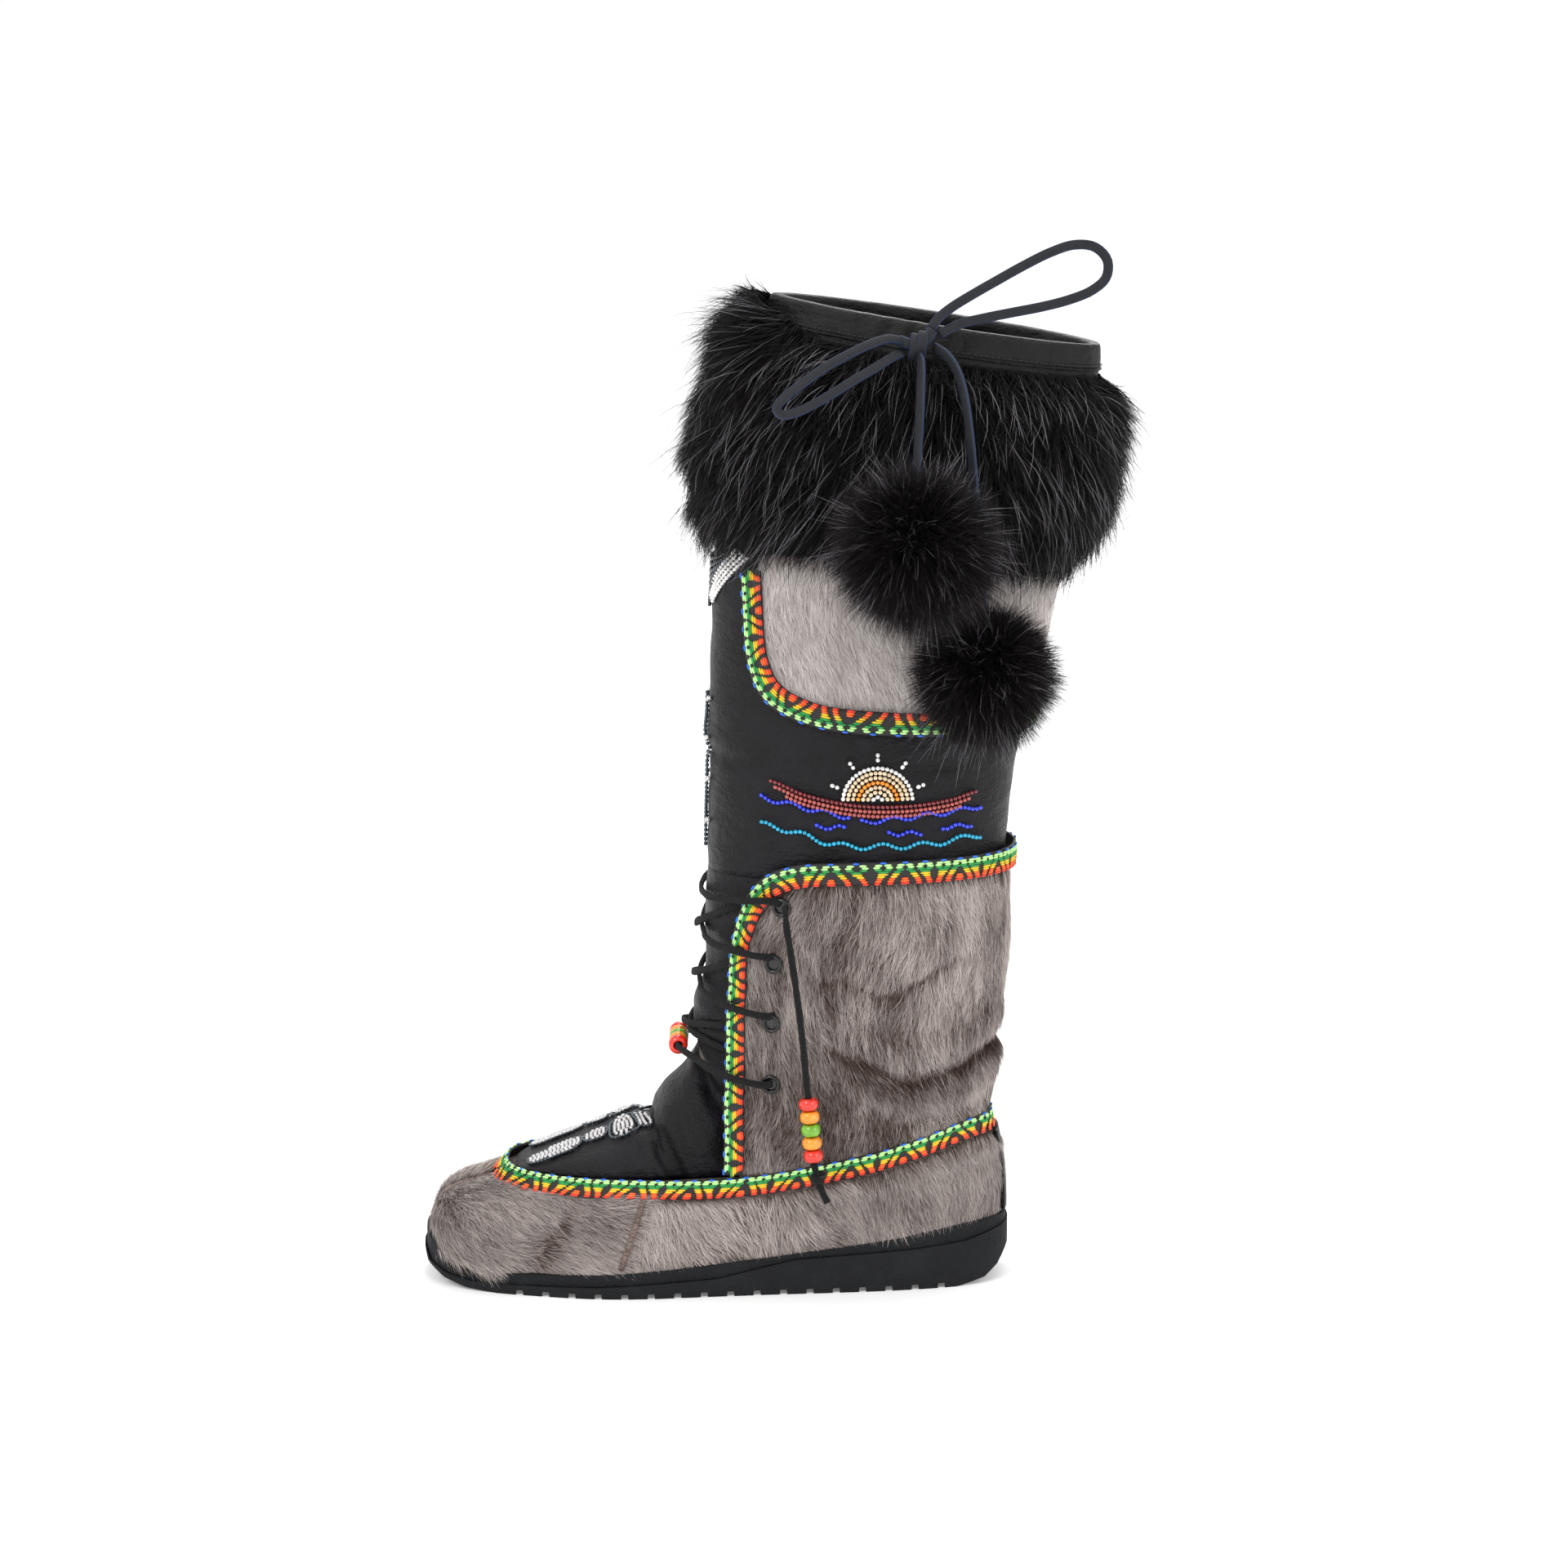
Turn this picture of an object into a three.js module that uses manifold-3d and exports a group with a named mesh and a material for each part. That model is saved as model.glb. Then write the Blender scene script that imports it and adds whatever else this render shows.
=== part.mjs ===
// A left winter boot of the mukluk kind, in millimetres: +Z up, toe towards -X, outer side towards -Y.
// The origin is on the ground, on the flat of the sole at the middle of its length.
import * as THREE from 'three';
import { mergeVertices } from 'three/addons/utils/BufferGeometryUtils.js';
import Module from 'manifold-3d';

const wasm = await Module();
wasm.setup();

// ---- Driving dimensions ----
const GAP = 0.3;                      // clearance between neighbouring pieces
const SOLE_LENGTH = 266;
const OUTLINE_POWER = 3;              // bluntness of the toe and heel in plan
const LEATHER = 1.5;                  // leg leather thickness
const LINING = 2.4;                   // pile lining thickness
const FUR_PANEL = 3;                  // hide and underfur of the seal panels
const FOXING = { thickness: 3.5, swell: 2.2 };  // hide and underfur of the strip round the foot
const BRAID = { width: 10.5, thickness: 1.9 };
const ANKLE = { x: 50, z: 84, slope: 0.22, clearance: 2 };
const COUNTER_TOP = 81.5;
const PANEL_TOP = 194;
const PATCH = { front: 22, bottom: 266, top: 319 };
const CASING = { height: 12.4, wall: 1.3, depth: 6.4 };
const EYELET = { outer: 4.4, hole: 2.1, height: 1.4 };
const LACE_RADIUS = 1.5;
const THONG_RADIUS = 1.9;
const BEAD = { outer: 4.5, hole: 1.95, length: 5.7, pitch: 6 };
const POMPOM = { front: 25, rear: 24 };
const LACE_LEVELS = [180.5, 154, 126.5, 98];

// A value that passes smoothly through its stations, each [position, value].
const through = (stations) => (at) => {
  const last = stations.length - 1;
  if (at <= stations[0][0]) return stations[0][1];
  if (at >= stations[last][0]) return stations[last][1];
  const i = stations.findIndex(([p], k) => k < last && at < stations[k + 1][0] && at >= p);
  const [[p0, v0], [p1, v1]] = [stations[i], stations[i + 1]];
  const s = (at - p0) / (p1 - p0);
  const slope = (k) => (k < 1 || k > last - 1 ? 0
    : (stations[k + 1][1] - stations[k - 1][1]) / (stations[k + 1][0] - stations[k - 1][0]));
  const [m0, m1] = [slope(i) * (p1 - p0), slope(i + 1) * (p1 - p0)];
  return v0 + s * m0 + s * s * (3 * (v1 - v0) - 2 * m0 - m1) + s ** 3 * (2 * (v0 - v1) + m0 + m1);
};
const mix = (a, b, s) => a + (b - a) * s;
const signedPower = (v, p) => Math.sign(v) * Math.abs(v) ** p;

// ---- The sole's outline, and the rails that the foot's pieces follow ----
const outerWidth = through([[-133, 45], [-90, 47], [-45, 50], [20, 42], [85, 38], [133, 37]]);
const innerWidth = through([[-133, 45], [-70, 48], [0, 37], [50, 35], [85, 36.5], [133, 37]]);

// A rail goes round the foot: turn 0 at the toe, 0.25 outer side, 0.5 heel, 0.75 inner side.
function rail(turn, { front, back, inset }) {
  const angle = 2 * Math.PI * (turn - Math.floor(turn));
  const power = 2 / OUTLINE_POWER;
  const x = (front + back) / 2 - (back - front) / 2 * signedPower(Math.cos(angle), power);
  const width = (angle <= Math.PI ? outerWidth(x) : innerWidth(x)) - inset(x);
  return [x, -width * signedPower(Math.sin(angle), power)];
}
// The turn at which a rail's outer side passes this x.
const railTurn = (x, { front, back }) => Math.acos(
  signedPower(((front + back) / 2 - x) / ((back - front) / 2), OUTLINE_POWER / 2)) / (2 * Math.PI);
const midsoleTop = through([[-119, 10], [-101, 9.2], [-40, 11.6], [15, 16.3], [77, 23.5], [127, 30.5]]);
const braidHeight = through([[-100, 44], [-44, 45], [11, 45.5], [67, 54.5], [89, 60.5], [120, 69]]);
const upperInset = through([[-100, 9], [-40, 7], [20, 4.4], [120, 4.4]]);
const baseRail = { front: -118, back: 127, inset: () => 4.4 };
const lowerRail = { front: -101, back: 123, inset: upperInset };
const upperRail = { front: -93, back: 121.5, inset: (x) => upperInset(x) + 1.6 };

// ---- The leg's section at each height ----
const legFront = through([[80, -15], [100, -12], [126, -9], [145, -5], [190, -4], [326, -1], [380, 6],
  [420, 15], [452, 25]]);
const legBack = through([[80, 120], [99, 122], [118, 125], [156, 130], [187, 130], [221, 132], [249, 135.5],
  [320, 151], [380, 163], [430, 171], [452, 174]]);
const legHalf = through([[80, 36.5], [110, 38], [160, 40], [200, 41], [320, 41.5], [380, 37], [420, 30],
  [452, 25]]);
const legPower = through([[80, 2.3], [320, 2.2], [452, 1.9]]);
const rimHeight = (x) => 452 - (x - 25) * 0.15;
const legBottom = (x) => ANKLE.z + ANKLE.clearance + ANKLE.slope * Math.abs(x - ANKLE.x);

// A point on the leg: turn is 0 at the front, -PI/2 on the outer side, PI/2 on the inner side, PI behind.
function onLeg(turn, z, off = 0) {
  const [front, back, half, power] = [legFront(z), legBack(z), legHalf(z), legPower(z)];
  const [long, mid] = [(back - front) / 2, (back + front) / 2];
  const [c, s] = [Math.cos(turn), Math.sin(turn)];
  const normal = new THREE.Vector3(-signedPower(c, 2 - 2 / power) / long, signedPower(s, 2 - 2 / power) / half, 0);
  const point = new THREE.Vector3(mid - long * signedPower(c, 2 / power), half * signedPower(s, 2 / power), z);
  return point.addScaledVector(normal.normalize(), off);
}
// The turn of the outer side's point at this x.
function turnAt(x, z) {
  const [front, back, power] = [legFront(z), legBack(z), legPower(z)];
  const across = ((back + front) / 2 - x) / ((back - front) / 2);
  return -Math.acos(signedPower(THREE.MathUtils.clamp(across, -1, 1), power / 2));
}
// A point on the leg between two heights that each depend on x.
function legBetween(turn, share, bottom, top, off) {
  const at = onLeg(turn, mix(bottom(60), top(60), share)).x;
  return onLeg(turn, mix(bottom(at), top(at), share), off);
}

// A point on the foot's side wall: level 0 at the sole, 1 and 2 at the braid's edges, 3 at the counter's top.
function footWall(turn, level) {
  const rails = [baseRail, lowerRail, upperRail].map((r) => rail(turn, r));
  const [x0, x1, x2] = rails.map(([x]) => x);
  const heights = [midsoleTop(x0) + 3 * GAP, braidHeight(x1), braidHeight(x2) + 9.3];
  const points = rails.map(([x, y], i) => new THREE.Vector3(x, y, heights[i]));
  const [px, py] = rails[2];
  points.push(new THREE.Vector3(px, py, Math.max(COUNTER_TOP, heights[2] + 1)));
  const i = Math.min(Math.floor(level), 2);
  return points[i].lerp(points[i + 1], level - i);
}
function onFoot(turn, level, off) {
  const step = 0.004;
  const across = footWall(turn + step, level).sub(footWall(turn - step, level));
  const low = Math.min(level, 2.9);
  const up = footWall(turn, low + 0.1).sub(footWall(turn, Math.max(low - 0.1, 0)));
  return footWall(turn, level).addScaledVector(across.cross(up).normalize(), off);
}

// ---- Forming helpers ----
// Closed solids with their shared vertices merged and their faces pointing out.
function clean(geometry) {
  for (const name of Object.keys(geometry.attributes)) {
    if (name !== 'position') geometry.deleteAttribute(name);
  }
  const merged = mergeVertices(geometry, 1e-3);
  const [at, order] = [merged.attributes.position, merged.index.array];
  const corner = (k) => new THREE.Vector3().fromBufferAttribute(at, order[k]);
  const faces = [];
  let volume = 0;
  for (let k = 0; k < order.length; k += 3) {
    const [a, b, c] = [order[k], order[k + 1], order[k + 2]];
    if (a === b || b === c || a === c) continue;
    faces.push([a, b, c]);
    volume += corner(k).dot(corner(k + 1).cross(corner(k + 2)));
  }
  merged.setIndex(faces.flatMap(([a, b, c]) => (volume < 0 ? [a, c, b] : [a, b, c])));
  merged.computeVertexNormals();
  return merged;
}
function moved(geometry, place) {
  const at = geometry.attributes.position;
  for (let k = 0; k < at.count; k += 1) {
    const p = place(k);
    at.setXYZ(k, p.x, p.y, p.z);
  }
  return clean(geometry);
}
// A closed section, as [off, share] pairs, carried once round the object.
function hoop(section, segments, place) {
  const closed = [...section, section[0]].map(([r, h]) => new THREE.Vector2(r + 50, h));
  const geometry = new THREE.LatheGeometry(closed, segments);
  const uv = geometry.attributes.uv;
  return moved(geometry, (k) => {
    const [off, share] = section[Math.round(uv.getY(k) * section.length) % section.length];
    return place(uv.getX(k) % 1, off, share);
  });
}
// A block whose three directions, each from 0 to 1, are placed on a surface.
function panel(along, across, place) {
  const geometry = new THREE.BoxGeometry(1, 1, 1, along, across, 1);
  const at = geometry.attributes.position.clone();
  return moved(geometry, (k) => place(at.getX(k) + 0.5, at.getY(k) + 0.5, at.getZ(k) + 0.5));
}
function cord(points, radius, steps, sides = 8) {
  const curve = new THREE.CatmullRomCurve3(points, false, 'centripetal');
  const section = new THREE.Shape();
  for (let k = 0; k < sides; k += 1) {
    const angle = 2 * Math.PI * k / sides;
    section[k ? 'lineTo' : 'moveTo'](radius * Math.cos(angle), radius * Math.sin(angle));
  }
  return clean(new THREE.ExtrudeGeometry(section, { steps, extrudePath: curve, curveSegments: 1 }));
}
// A turned piece: its profile, as [radius, height] pairs, closes on itself and its axis is +Z.
function turned(profile, segments) {
  const closed = [...profile, profile[0]].map(([r, h]) => new THREE.Vector2(r, h));
  return clean(new THREE.LatheGeometry(closed, segments)).rotateX(Math.PI / 2);
}
function toManifold(geometry) {
  const vertProperties = new Float32Array(geometry.attributes.position.array);
  return new wasm.Manifold(new wasm.Mesh({
    numProp: 3, vertProperties, triVerts: new Uint32Array(geometry.index.array) }));
}
function fromManifold(solid) {
  const mesh = solid.getMesh();
  const geometry = new THREE.BufferGeometry();
  geometry.setAttribute('position', new THREE.BufferAttribute(mesh.vertProperties, 3));
  geometry.setIndex([...mesh.triVerts]);
  return clean(geometry);
}

// ---- Materials ----
const finish = (color, roughness, metalness = 0) => ({ color, roughness, metalness });
const finishes = {
  rubber: finish(0x303236, 0.85), leather: finish(0x1c1b1d, 0.5), suede: finish(0x3b3c3a, 0.9),
  thong: finish(0x2a3040, 0.7), lining: finish(0x4a4038, 1), seal: finish(0x6f625c, 0.8),
  paleSeal: finish(0xc6bcbb, 0.8), blackFur: finish(0x171315, 0.9), braid: finish(0xb4402a, 0.8),
  eyelet: finish(0x121214, 0.35, 0.5), cork: finish(0x8a7a60, 0.9),
  redBead: finish(0xd23018, 0.25), orangeBead: finish(0xf08a20, 0.25), greenBead: finish(0x6aa02a, 0.25),
};
const boot = new THREE.Group();
function add(name, look, geometry, group = boot) {
  const mesh = new THREE.Mesh(geometry, new THREE.MeshStandardMaterial(finishes[look]));
  mesh.name = name;
  group.add(mesh);
  return mesh;
}

// ---- Sole ----
// A side view cut out of the sole's plan outline.
function soleLayer(profile, inset) {
  const plan = { front: -SOLE_LENGTH / 2 - 2 + inset, back: SOLE_LENGTH / 2 - inset, inset: () => inset };
  const outline = Array.from({ length: 72 }, (_, k) => new THREE.Vector2(...rail(k / 72, plan)));
  const column = clean(new THREE.ExtrudeGeometry(new THREE.Shape(outline), { depth: 60, bevelEnabled: false }));
  const side = new THREE.Shape(profile.map(([x, z]) => new THREE.Vector2(x, z)));
  const slab = new THREE.ExtrudeGeometry(side, { depth: 140, bevelEnabled: false });
  slab.rotateX(Math.PI / 2).translate(0, 70, 0);
  return fromManifold(toManifold(column.translate(0, 0, -5)).intersect(toManifold(clean(slab))));
}
const LUG = { pitch: 12, groove: 3.4, depth: 2.2, first: -90, last: 102 };
const lugs = [];
for (let x = LUG.first; x <= LUG.last; x += LUG.pitch) {
  const [start, end] = [x - LUG.groove / 2, x + LUG.groove / 2];
  lugs.push([start, 0], [start + 0.3, LUG.depth], [end - 0.3, LUG.depth], [end, 0]);
}
const toeTurn = [[-136, 18], [-132, 10], [-124, 6.5]];
const parting = [[-112, 4.6], [-91, 4.7], [-54, 5.5], [0, 8.5], [36, 16.4], [90, 19.2], [113, 21.5], [134, 27]];
const lifted = (points, by) => points.map(([x, z]) => [x, z + by]);
add('outsole', 'rubber', soleLayer([
  [-136, 17.4], [-133, 9], [-125, 4], [-115, 1.2], [-100, 0], ...lugs, [109, 0], [122, 3], [128, 8],
  [136, 21], ...lifted([...toeTurn, ...parting], -GAP).reverse()], 0));
const lip = [[-110, 9.3], [-123, 9.4], [-124.2, 20], [-124.6, 27], [-129, 28], [-136, 23]];
const upperFace = Array.from({ length: 20 }, (_, k) => mix(136, -101, k / 19)).map((x) => [x, midsoleTop(x)]);
add('midsole', 'rubber', soleLayer([...toeTurn, ...parting, ...upperFace, ...lip], 1));

// ---- Foot ----
const footTurns = { seamOuter: 0.21, seamInner: 0.79 };
const INSOLE = { thickness: 3.4, inset: 9.5, front: -108, back: 118 };
add('insole', 'cork', panel(12, 3, (u, v, w) => {
  const sole = { front: INSOLE.front - 1, back: INSOLE.back + 1 };
  const x = mix(INSOLE.front, INSOLE.back, u);
  const [mid, long] = [(sole.front + sole.back) / 2, (sole.back - sole.front) / 2];
  const round = (1 - Math.abs((x - mid) / long) ** OUTLINE_POWER) ** (1 / OUTLINE_POWER);
  const y = mix(-(outerWidth(x) - INSOLE.inset), innerWidth(x) - INSOLE.inset, v) * round;
  return new THREE.Vector3(x, y, midsoleTop(x) + 0.8 + w * INSOLE.thickness);
}));
const SEAM_HALF = 0.004;
function foxing(from, to, steps) {
  return panel(steps, 3, (u, v, w) => {
    const swell = FOXING.swell * Math.sin(Math.PI * v);
    return onFoot(mix(from, to, u), mix(0.01, 0.985, v), w * FOXING.thickness + swell);
  });
}
add('toe_foxing', 'seal', foxing(footTurns.seamInner - 1 + SEAM_HALF, footTurns.seamOuter - SEAM_HALF, 26));
add('heel_foxing', 'seal', foxing(footTurns.seamOuter + SEAM_HALF, footTurns.seamInner - SEAM_HALF, 26));
add('foot_braid', 'braid', hoop([[0.4, 0.06], [0.4 + BRAID.thickness, 0.08], [0.4 + BRAID.thickness, 0.94],
  [0.4, 0.98]], 44, (turn, off, share) => onFoot(turn, 1 + share, off + 1.4)));
const COUNTER_START = railTurn(-18, upperRail);
add('counter', 'leather', panel(26, 2, (u, v, w) => (
  onFoot(mix(COUNTER_START, 1 - COUNTER_START, u), mix(2.03, 3, v), w * 2.2))));
add('foot_lining', 'lining', hoop([[-3.2, 0.12], [-0.8, 0.12], [-0.8, 1], [-0.8, 1.9], [-3.2, 1.9], [-3.2, 1]],
  36, (turn, off, share) => onFoot(turn, share, off)));
const VAMP = { front: -86, back: -21, thickness: 1.8, arch: 2.3 };
const vampRidge = through([[-93, 50.5], [-75, 58.5], [-45, 68], [-30, 74.5], [-21, 81]]);
add('vamp', 'leather', panel(10, 10, (u, v, w) => {
  const x = mix(VAMP.front, VAMP.back, u);
  const [mid, long] = [(upperRail.front + upperRail.back) / 2, (upperRail.back - upperRail.front) / 2];
  const round = (1 - Math.abs((x - mid) / long) ** OUTLINE_POWER) ** (1 / OUTLINE_POWER);
  const [outer, inner] = [outerWidth, innerWidth].map((f) => (f(x) - upperInset(x) - 1.6) * round - 1);
  const base = braidHeight(x) + 9.8;
  const angle = Math.PI * v;
  const half = (angle < Math.PI / 2 ? outer : inner) - (1 - w) * VAMP.thickness;
  const rise = Math.max(vampRidge(x) - base, 1.5) - (1 - w) * VAMP.thickness * 0.8;
  const power = 2 / VAMP.arch;
  return new THREE.Vector3(x, -half * signedPower(Math.cos(angle), power),
    base + rise * Math.sin(angle) ** power);
}));

// ---- Leg ----
const leg = new THREE.Group();
boot.add(leg);
const leatherTop = (x) => rimHeight(x) - CASING.height - GAP;
const around = (turn) => 2 * Math.PI * turn;
const LEG_SEGMENTS = 36;
const LEG_ROWS = 8;
function tube(inner, outer, bottom, top) {
  const shares = Array.from({ length: LEG_ROWS + 1 }, (_, k) => k / LEG_ROWS);
  const section = [...shares.map((s) => [outer, s]), ...shares.reverse().map((s) => [inner, s])];
  return hoop(section, LEG_SEGMENTS, (turn, off, share) => legBetween(around(turn), share, bottom, top, off));
}
add('leg_leather', 'leather', tube(-LEATHER, 0, legBottom, leatherTop), leg);
const liningOuter = -LEATHER - 2 * GAP;
add('leg_lining', 'lining', tube(liningOuter - LINING, liningOuter, legBottom, (x) => leatherTop(x) - 1), leg);

// A panel on both sides of the leg, mirrored for the inner side.
const mirrored = (point) => new THREE.Vector3(point.x, -point.y, point.z);
const sides = [['outer', (p) => p], ['inner', mirrored]];
const BACK_SEAM = -Math.PI + 0.012;
const panelOff = [3 * GAP, 3 * GAP + FUR_PANEL];
const quarterFront = through([[86, 15.2], [107, 15.4], [152, 16], [176, 22], [186, 30], [195, 42]]);
for (const [side, sideOf] of sides) {
  add(`quarter_fur_${side}`, 'seal', panel(12, 6, (u, v, w) => {
    const z = mix(legBottom(mix(20, 128, u)) + GAP, PANEL_TOP, v);
    return sideOf(onLeg(mix(turnAt(quarterFront(z), z), BACK_SEAM, u), z, mix(...panelOff, w)));
  }), leg);
  add(`leg_patch_${side}`, 'paleSeal', panel(12, 3, (u, v, w) => {
    const corner = 16 * Math.max(0, 1 - u * 8) ** 2;
    const z = mix(PATCH.bottom + corner * 0.9, PATCH.top, v);
    return sideOf(onLeg(mix(turnAt(PATCH.front, z), BACK_SEAM, u), z, mix(...panelOff, w)));
  }), leg);
}
// A braid laid on the leg along a line of [x, z] points, sewn over the panel's edge.
const BACK = 'back';
const MEAN_RADIUS = 62;               // lets a turn round the leg be drawn as a length
function legBraid(line, steps, sideOf) {
  const flat = new THREE.SplineCurve(line.map(([x, z]) => {
    const turn = x === BACK ? BACK_SEAM : turnAt(x, z);
    return new THREE.Vector2(turn * MEAN_RADIUS, z);
  }));
  return panel(steps, 1, (u, v, w) => {
    const at = flat.getPoint(u);
    const way = flat.getTangent(u);
    const shift = (v - 0.5) * BRAID.width;
    const z = at.y + way.x * shift;
    const off = panelOff[1] + 2 * GAP + w * BRAID.thickness;
    return sideOf(onLeg((at.x - way.y * shift) / MEAN_RADIUS, z, off));
  });
}
const QUARTER_LINE = [[BACK, 198], [118, 198], [61, 197], [36, 195], [24, 189], [16, 175], [11.5, 152],
  [10, 120], [9.5, 101]];
const PATCH_LINE = [[BACK, 263], [118, 264], [70, 266], [42, 270], [26, 279], [20, 293], [18, 319]];
for (const [side, sideOf] of sides) {
  add(`quarter_braid_${side}`, 'braid', legBraid(QUARTER_LINE, 32, sideOf), leg);
  add(`patch_braid_${side}`, 'braid', legBraid(PATCH_LINE, 26, sideOf), leg);
}

// Fur cuff: hide and hair together, thicker in front and behind than at the sides.
const cuffBottom = (x) => mix(327, 322, x / 160);
const cuffTop = (x) => rimHeight(x) - CASING.height - 2;
const cuffSection = [[0, 0.02], [0.55, 0], [0.86, 0.1], [1, 0.28], [1, 0.5], [0.9, 0.72], [0.66, 0.9],
  [0.3, 1], [0, 1], [0, 0.75], [0, 0.5], [0, 0.25]];
const cuffDepth = (turn) => 17 + 8 * Math.abs(Math.cos(around(turn)));
add('fur_cuff', 'blackFur', hoop(cuffSection, LEG_SEGMENTS, (turn, depth, share) => (
  legBetween(around(turn), share, cuffBottom, cuffTop, 3 * GAP + depth * cuffDepth(turn)))), leg);

// Casing: the top edge folded over a channel, with the drawstring lying in it.
const { wall, depth: casingDepth } = CASING;
add('collar_casing', 'leather', hoop([[1, 0], [1, 0.9], [0.2, 1], [0.8 - casingDepth, 1], [-casingDepth, 0.9],
  [-casingDepth, 0], [wall - casingDepth, 0], [wall - casingDepth, 0.84], [1 - wall, 0.84], [1 - wall, 0]], LEG_SEGMENTS,
(turn, off, share) => legBetween(around(turn), share, (x) => rimHeight(x) - CASING.height, rimHeight, off)), leg);
const stringHeight = (x) => rimHeight(x) - CASING.height / 2 + 1;
add('drawstring', 'thong', hoop([[-1.3, 0], [-2, 1.3], [-3.4, 1.3], [-4.1, 0], [-3.4, -1.3], [-2, -1.3]],
  LEG_SEGMENTS, (turn, off, lift) => {
  const at = onLeg(around(turn), stringHeight(60)).x;
  return onLeg(around(turn), stringHeight(at) + lift, off);
}), leg);

// ---- Lacing ----
// Places a piece whose own axis is +Z so that it points along a direction.
function aimed(mesh, position, direction) {
  mesh.position.copy(position);
  mesh.quaternion.setFromUnitVectors(new THREE.Vector3(0, 0, 1), direction.clone().normalize());
  return mesh;
}
const eyeletX = through([[96, 25], [154, 26.5], [181, 30]]);
const surfaceOff = panelOff[1] + 2 * GAP;
LACE_LEVELS.forEach((z, k) => {
  for (const [side, sideOf] of sides) {
    const turn = turnAt(eyeletX(z), z);
    const seat = onLeg(turn, z, surfaceOff);
    const outward = onLeg(turn, z, surfaceOff + 1).sub(seat);
    const ring = turned([[EYELET.hole, 0], [EYELET.outer, 0], [EYELET.outer - 0.6, EYELET.height],
      [EYELET.hole + 0.5, EYELET.height]], 10);
    aimed(add(`eyelet_${side}_${k + 1}`, 'eyelet', ring, leg), sideOf(seat), sideOf(outward));
  }
});
// Between two eyelet levels the lace leaves one side over the braid, crosses the front and goes under the other.
const OVER_BRAID = surfaceOff + BRAID.thickness + LACE_RADIUS + GAP;
const NEAR_LEATHER = 2.9;
const EDGE_TURN = 0.38;
function crossing(start, levels, sign, hump) {
  const [low, middle, high] = levels;
  const front = [[-0.34, 5.2], [-0.2, NEAR_LEATHER + hump + 0.4], [0, NEAR_LEATHER + hump],
    [0.2, NEAR_LEATHER + hump * 0.6], [EDGE_TURN, NEAR_LEATHER]];
  const route = start < -EDGE_TURN
    ? [[start, surfaceOff + 3.6], [-0.88, OVER_BRAID + 0.6], [-0.7, OVER_BRAID + 0.4], [-0.54, OVER_BRAID], ...front]
    : [[start, NEAR_LEATHER], ...front.slice(1)];
  return cord(route.map(([turn, off]) => {
    const z = turn < 0 ? mix(low, middle, 1 - turn / start) : mix(middle, high, turn / EDGE_TURN);
    return onLeg(turn * sign, z, off);
  }), LACE_RADIUS, start < -EDGE_TURN ? 14 : 8);
}
const eyeletTurn = (z) => turnAt(eyeletX(z), z);
[[eyeletTurn(154), [157.5, 164, 172]], [eyeletTurn(126.5), [130, 141, 147]], [-EDGE_TURN, [115, 118.5, 121]]]
  .forEach(([start, levels], k) => {
    const pair = [crossing(start, levels, 1, 0), crossing(start, levels, -1, 2.6)].map(toManifold);
    add(`lace_crossing_${k + 1}`, 'suede', fromManifold(pair[0].add(pair[1])), leg);
  });
// The bottom crossing runs through five beads, and the top one is plain.
const BAR = { x: -18, z: 110, beads: ['redBead', 'orangeBead', 'greenBead', 'orangeBead', 'redBead'] };
const bottomEyelet = LACE_LEVELS[3];
const halfBar = [[eyeletTurn(bottomEyelet), bottomEyelet, surfaceOff + 3.6], [-0.92, 100.5, OVER_BRAID + 0.6],
  [-0.7, 103.5, OVER_BRAID + 0.4], [-0.52, 106.5, OVER_BRAID]].map(([turn, z, off]) => onLeg(turn, z, off));
const straightBar = [-16, -8, 0, 8, 16].map((y) => new THREE.Vector3(BAR.x, y, BAR.z));
const barRoute = [...halfBar, ...straightBar, ...halfBar.map(mirrored).reverse()];
add('lace_bar_bottom', 'suede', cord(barRoute, LACE_RADIUS, 26), leg);
const topTurns = [-1.04, -0.86, -0.66, -0.5, -0.25, 0];
const topOffs = [surfaceOff + 3.4, OVER_BRAID + 0.5, OVER_BRAID + 0.4, OVER_BRAID, 4.4, 3.4];
const topHalf = topTurns.map((turn, k) => onLeg(turn, mix(184, 181, k / 5), topOffs[k]));
add('lace_bar_top', 'suede', cord([...topHalf, ...topHalf.slice(0, -1).map(mirrored).reverse()], LACE_RADIUS, 20),
  leg);
const beadSection = [[BEAD.hole, -0.5], [BEAD.outer - 1, -0.5], [BEAD.outer, -0.26], [BEAD.outer, 0.26],
  [BEAD.outer - 1, 0.5], [BEAD.hole, 0.5]].map(([r, h]) => [r, h * BEAD.length]);
const bead = () => turned(beadSection, 8);
BAR.beads.forEach((look, k) => {
  const at = new THREE.Vector3(BAR.x, (k - 2) * BEAD.pitch, BAR.z);
  aimed(add(`bar_bead_${k + 1}`, look, bead(), leg), at, new THREE.Vector3(0, 1, 0));
});

// Lace tails: each hangs from its top eyelet, carries five beads and ends in a knot.
const TAIL_ROUTE = [[31, -50, 176], [31.6, -51.5, 172], [32.6, -52.4, 166], [33.8, -52.8, 158], [35, -53, 150],
  [36.2, -53.2, 141], [37.4, -53.4, 132], [38.4, -53.6, 123], [39.3, -53.8, 114], [40.1, -54, 105],
  [40.9, -54.2, 97], [41.6, -54.4, 89], [42.3, -54.6, 81], [43, -54.8, 73], [43.9, -55, 65], [45.4, -55.2, 58],
  [47.6, -55.3, 52], [49.8, -55.4, 47.5]];
const tailPoints = TAIL_ROUTE.map((p) => new THREE.Vector3(...p));
const tailCurve = new THREE.CatmullRomCurve3(tailPoints, false, 'centripetal');
const TAIL_KNOT = { share: 0.905, radius: 3.6 };
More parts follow.
